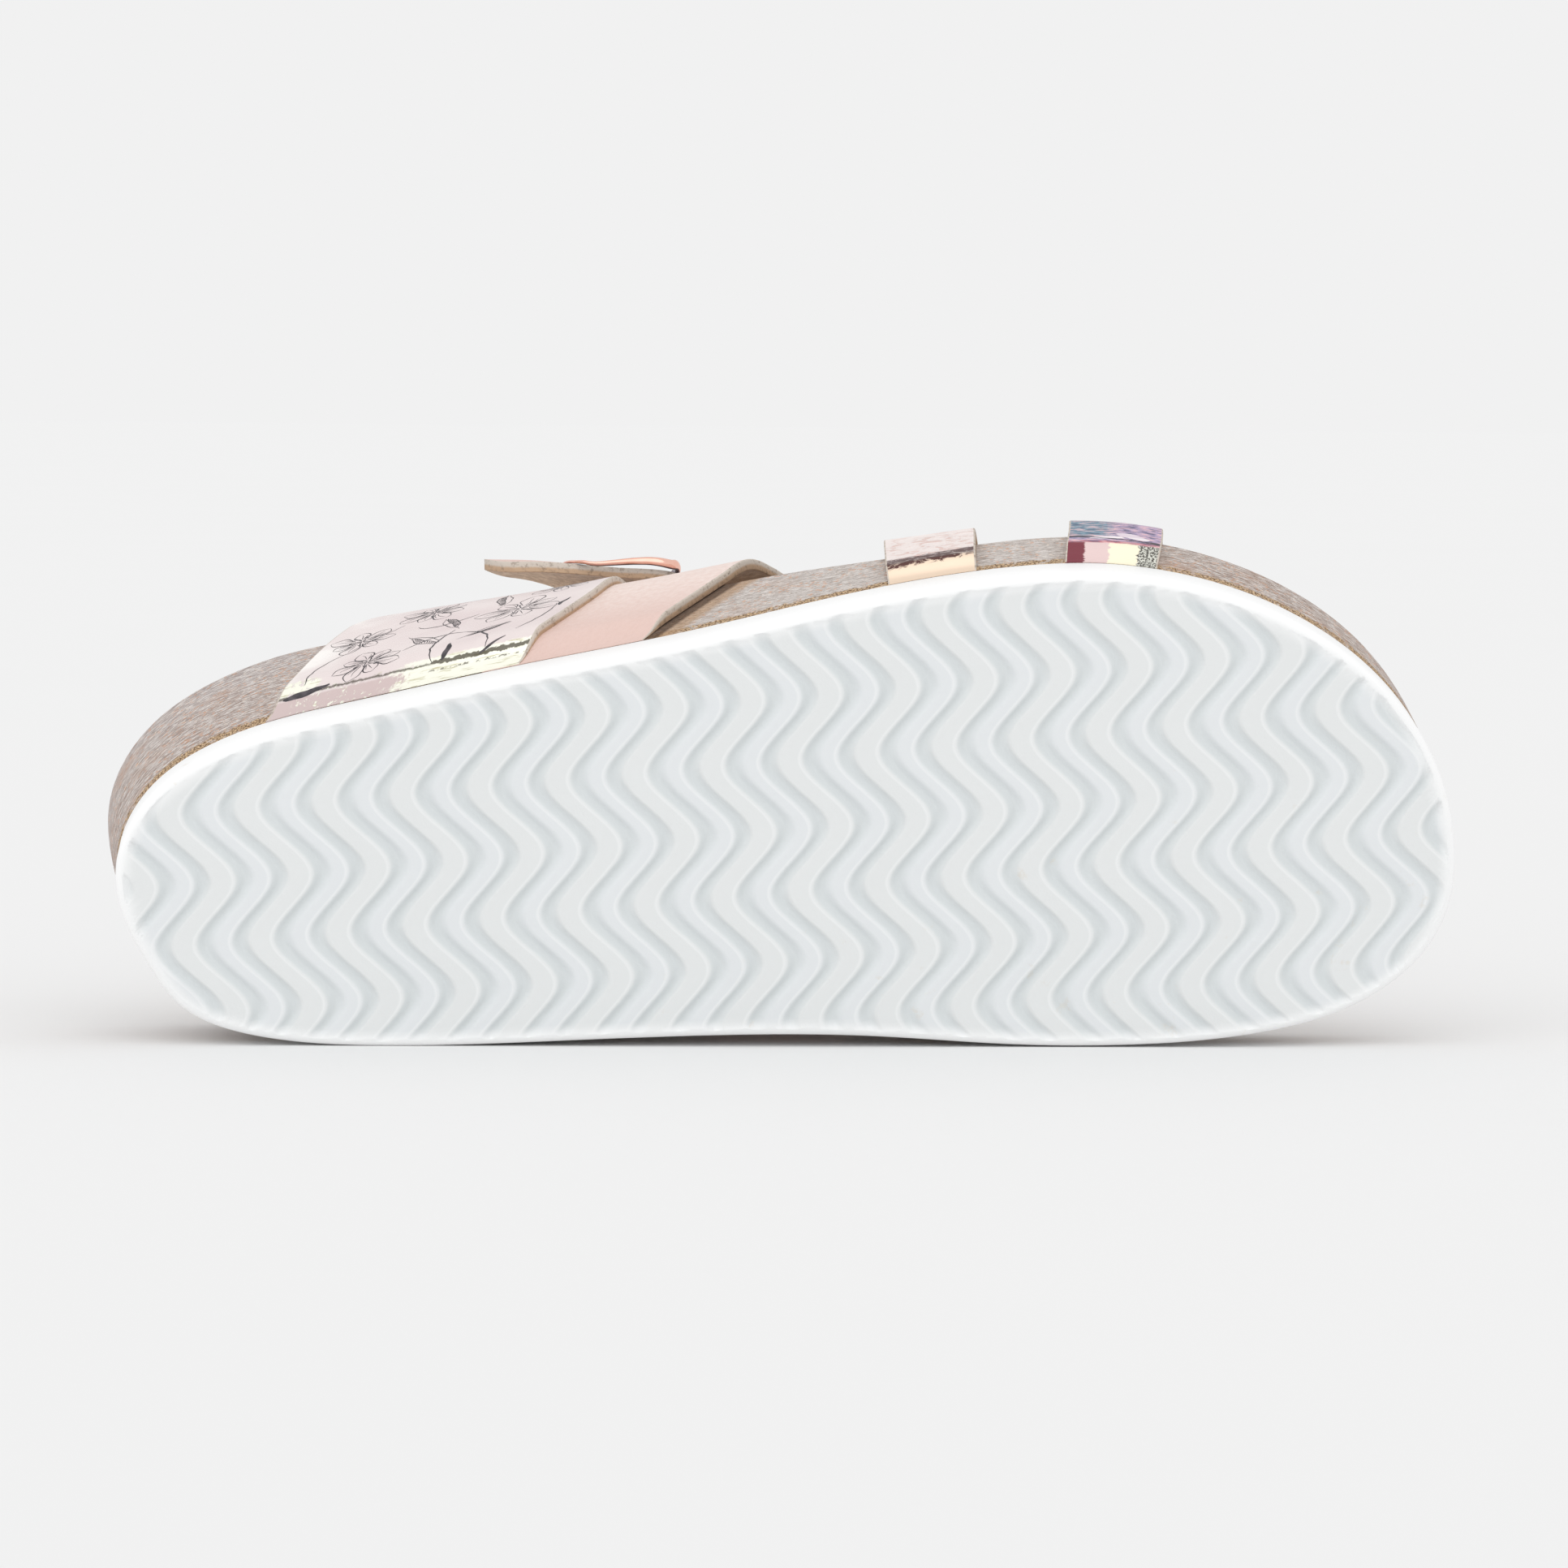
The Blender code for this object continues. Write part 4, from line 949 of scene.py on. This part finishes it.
brushed, shader, where, surface = finish("brushed_colours", roughness=0.4, Specular_IOR_Level=0.4)
across = surface.part(1)
fold = reads(where, "from_sole")
strokes = surface.stretch(3.4, 0.5).noise(2.6, 5, 0.65, 0.8)
fine = surface.stretch(5.0, 0.6).noise(5.0, 3, 0.6)
ragged = across + strokes * 0.5 - 0.25
level = fold + strokes * 6.0 - 3.0
base = level.step(5.0, 6.8).blend(colour(200, 104, 114), colour(176, 156, 190))
base = (level.step(6.6, 8.8) * ragged.step(1.05, 0.6)).blend(base, colour(112, 148, 166))
base = (fine.step(0.52, 0.57) * 0.85).blend(base, colour(60, 64, 98))
base = (fine.step(0.48, 0.42) * 0.85).blend(base, colour(236, 190, 192))
wide_petal = ((fold - 9.2) * 0.5) ** 2.0 + ((ragged - 1.25) * 3.2 + (fold - 9.2) * 0.3) ** 2.0
slim_petal = ((fold - 7.8) * 0.8) ** 2.0 + ((ragged - 0.72) * 3.0 - (fold - 7.8) * 0.4) ** 2.0
petals = wide_petal.least(slim_petal).step(0.75, 0.55)
white = strokes.step(0.4, 0.6).blend(colour(248, 240, 241), colour(222, 206, 218))
base = petals.blend(base, white)
line = fold.near(6.6 - across * 0.7 + strokes * 2.6, 0.55).step(0.1, 0.6)
base = line.blend(base, colour(44, 36, 50))
# below the line the strap is pieced from foil and plain patches
pieced = across + strokes * 0.3 - 0.15
speckle = surface.noise(24, 3, 0.7).step(0.45, 0.55)
speckle = speckle.blend(colour(74, 70, 64), colour(216, 216, 206))
patches = pieced.step(0.34, 0.38).blend(colour(124, 52, 64), colour(228, 202, 200))
patches = pieced.step(0.80, 0.84).blend(patches, colour(251, 243, 216))
patches = pieced.step(1.36, 1.40).blend(patches, speckle)
low = (fold + strokes * 2.0 - 1.0).step(4.9, 4.4)
feed(shader, Base_Color=low.blend(base, patches))
bump(shader, strokes + fine * 0.5, 0.12)

rear_toe = strap_object("rear_toe_strap", REAR_TOE, (rose_gold, raw_edge, lining), wide=26)
front_toe = strap_object("front_toe_strap", FRONT_TOE, (brushed, raw_edge, lining), wide=26)
for strap, node in ((rear_toe, "toe_strap_rear"), (front_toe, "toe_strap_front")):
    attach(strap, "root")
    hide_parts(node)

# Buckle.
# A thin frame, cast and plated in polished rose gold, that the closure strap passes through. Its
# sides thicken towards the toe and arch a little off the leather.
BUCKLE_FROM, BUCKLE_TO, BUCKLE_OVERHANG, BUCKLE_CORNER, METAL = 0.56, 0.80, 0.12, 0.45, 1.4
BUCKLE_POINTS, BAR_POINTS, BAR_THIN, BAR_THICKER, BAR_CLEAR = 160, 16, 0.45, 1.15, 0.1
BUCKLE_LOW, BUCKLE_ARCH, BUCKLE_SKEW, BUCKLE_CLIMB = -0.25, 1.35, 1.3, 0.12
turn = np.linspace(0, 2 * math.pi, BUCKLE_POINTS, endpoint=False)
along = np.sign(np.cos(turn)) * np.abs(np.cos(turn)) ** BUCKLE_CORNER
sideways = np.sign(np.sin(turn)) * np.abs(np.sin(turn)) ** BUCKLE_CORNER
place = (BUCKLE_FROM + BUCKLE_TO) / 2 + along * (BUCKLE_TO - BUCKLE_FROM) / 2
share = 0.5 + sideways * (0.5 + BUCKLE_OVERHANG)
lean = np.clip((BUCKLE_TO - place) / (BUCKLE_TO - BUCKLE_FROM), 0, 1)
proud = BUCKLE_LOW + BUCKLE_ARCH * np.sin(math.pi * lean**BUCKLE_SKEW)
climb = np.clip((1 - np.abs(sideways)) / BUCKLE_CLIMB, 0, 1)
thick = METAL / 2 * (BAR_THIN + BAR_THICKER * lean)
proud += (np.maximum(proud, BAR_CLEAR + thick) - proud) * climb * climb * (3 - 2 * climb)
path = on_strap(CLOSURE, place, share, STRAP_GAP + LEATHER + proud)
ahead = np.roll(path, -1, axis=0) - np.roll(path, 1, axis=0)
ahead /= np.linalg.norm(ahead, axis=1)[:, None]
up_axis = on_strap(CLOSURE, place, share, np.full(BUCKLE_POINTS, 8.0)) - path
up_axis -= (up_axis * ahead).sum(axis=1)[:, None] * ahead
up_axis /= np.linalg.norm(up_axis, axis=1)[:, None]
out_axis = np.cross(ahead, up_axis)
round_bar = np.linspace(0, 2 * math.pi, BAR_POINTS, endpoint=False)
bar = path[:, None] + (
    thick[:, None, None] * up_axis[:, None] * np.cos(round_bar)[None, :, None]
    + METAL / 2 * out_axis[:, None] * np.sin(round_bar)[None, :, None]
)
closed = np.concatenate([bar, bar[:1]])
faces = grid_faces(BUCKLE_POINTS + 1, BAR_POINTS, around=True)
buckle = mesh_object("buckle_frame", closed, faces)
plated, shader, where, surface = finish("plated_rose_gold", roughness=0.18, metallic=1.0)
smear = where.noise(220, 3)
paint(buckle, "round", np.broadcast_to(np.cos(round_bar - 0.9), closed.shape[:2]))
bright = smear.blend(colour(240, 172, 150), colour(255, 216, 200))
shadow = (reads(where, "round") + smear * 0.6).step(0.25, -0.1)
feed(shader, Base_Color=shadow.blend(bright, colour(84, 58, 72)), Roughness=smear * 0.15 + 0.1)
bump(shader, smear, 0.02)
buckle.data.materials.append(plated)
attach(buckle, "root")
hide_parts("buckle")

# Floor, light and camera.
# A plain white floor that runs level to the horizon under a pale even sky, a wide soft light from
# above and in front, a little from the left, and a long lens close to the floor.
FLOOR_CORNERS, FLOOR_RINGS = 96, (0.3, 0.6, 1.2, 2.5, 5, 10, 20, 40, 80)
LIGHT_ENERGY, LIGHT_SPREAD, SKY = 0.8, 80, 0.88
# in pixels of the photograph
FOCAL_LENGTH, PICTURE_WIDTH = 7000, 1932
turn = np.linspace(0, 2 * math.pi, FLOOR_CORNERS, endpoint=False)
reach = np.array(FLOOR_RINGS)[:, None]
disc = np.stack([reach * np.cos(turn), reach * np.sin(turn), 0 * (reach + turn)], axis=-1)
mesh = bpy.data.meshes.new("floor")
faces = grid_faces(len(FLOOR_RINGS), FLOOR_CORNERS, around=True)
faces = [*map(tuple, faces), tuple(range(FLOOR_CORNERS))]
mesh.from_pydata(disc.reshape(-1, 3).tolist(), [], faces)
floor = bpy.data.objects.new("floor", mesh)
bpy.context.collection.objects.link(floor)
paper, shader, where, surface = finish("pale_paper", roughness=1.0, Specular_IOR_Level=0.0)
feed(shader, Base_Color=where.noise(3, 2).blend(colour(237, 237, 237), colour(238, 238, 238)))
floor.data.materials.append(paper)

above = bpy.data.lights.new("above", "SUN")
above.energy, above.angle = LIGHT_ENERGY, math.radians(LIGHT_SPREAD)
light = bpy.data.objects.new("above", above)
light.rotation_euler = np.radians((50, -14, 0))
bpy.context.collection.objects.link(light)
world = bpy.data.worlds.new("studio")
world.use_nodes = True
background = world.node_tree.nodes["Background"]
background.inputs[0].default_value = (1, 1, 1, 1)
background.inputs[1].default_value = SKY
bpy.context.scene.world = world
bpy.context.scene.view_settings.view_transform = "Standard"

lens = bpy.data.cameras.new("camera")
lens.sensor_width = 36.0
lens.lens = lens.sensor_width * FOCAL_LENGTH / PICTURE_WIDTH
camera = bpy.data.objects.new("camera", lens)
camera.location = (-0.05364, -1.11519, 0.12091)
camera.rotation_euler = np.radians((86.3222, -0.4465, -2.8237))
bpy.context.collection.objects.link(camera)
bpy.context.scene.camera = camera
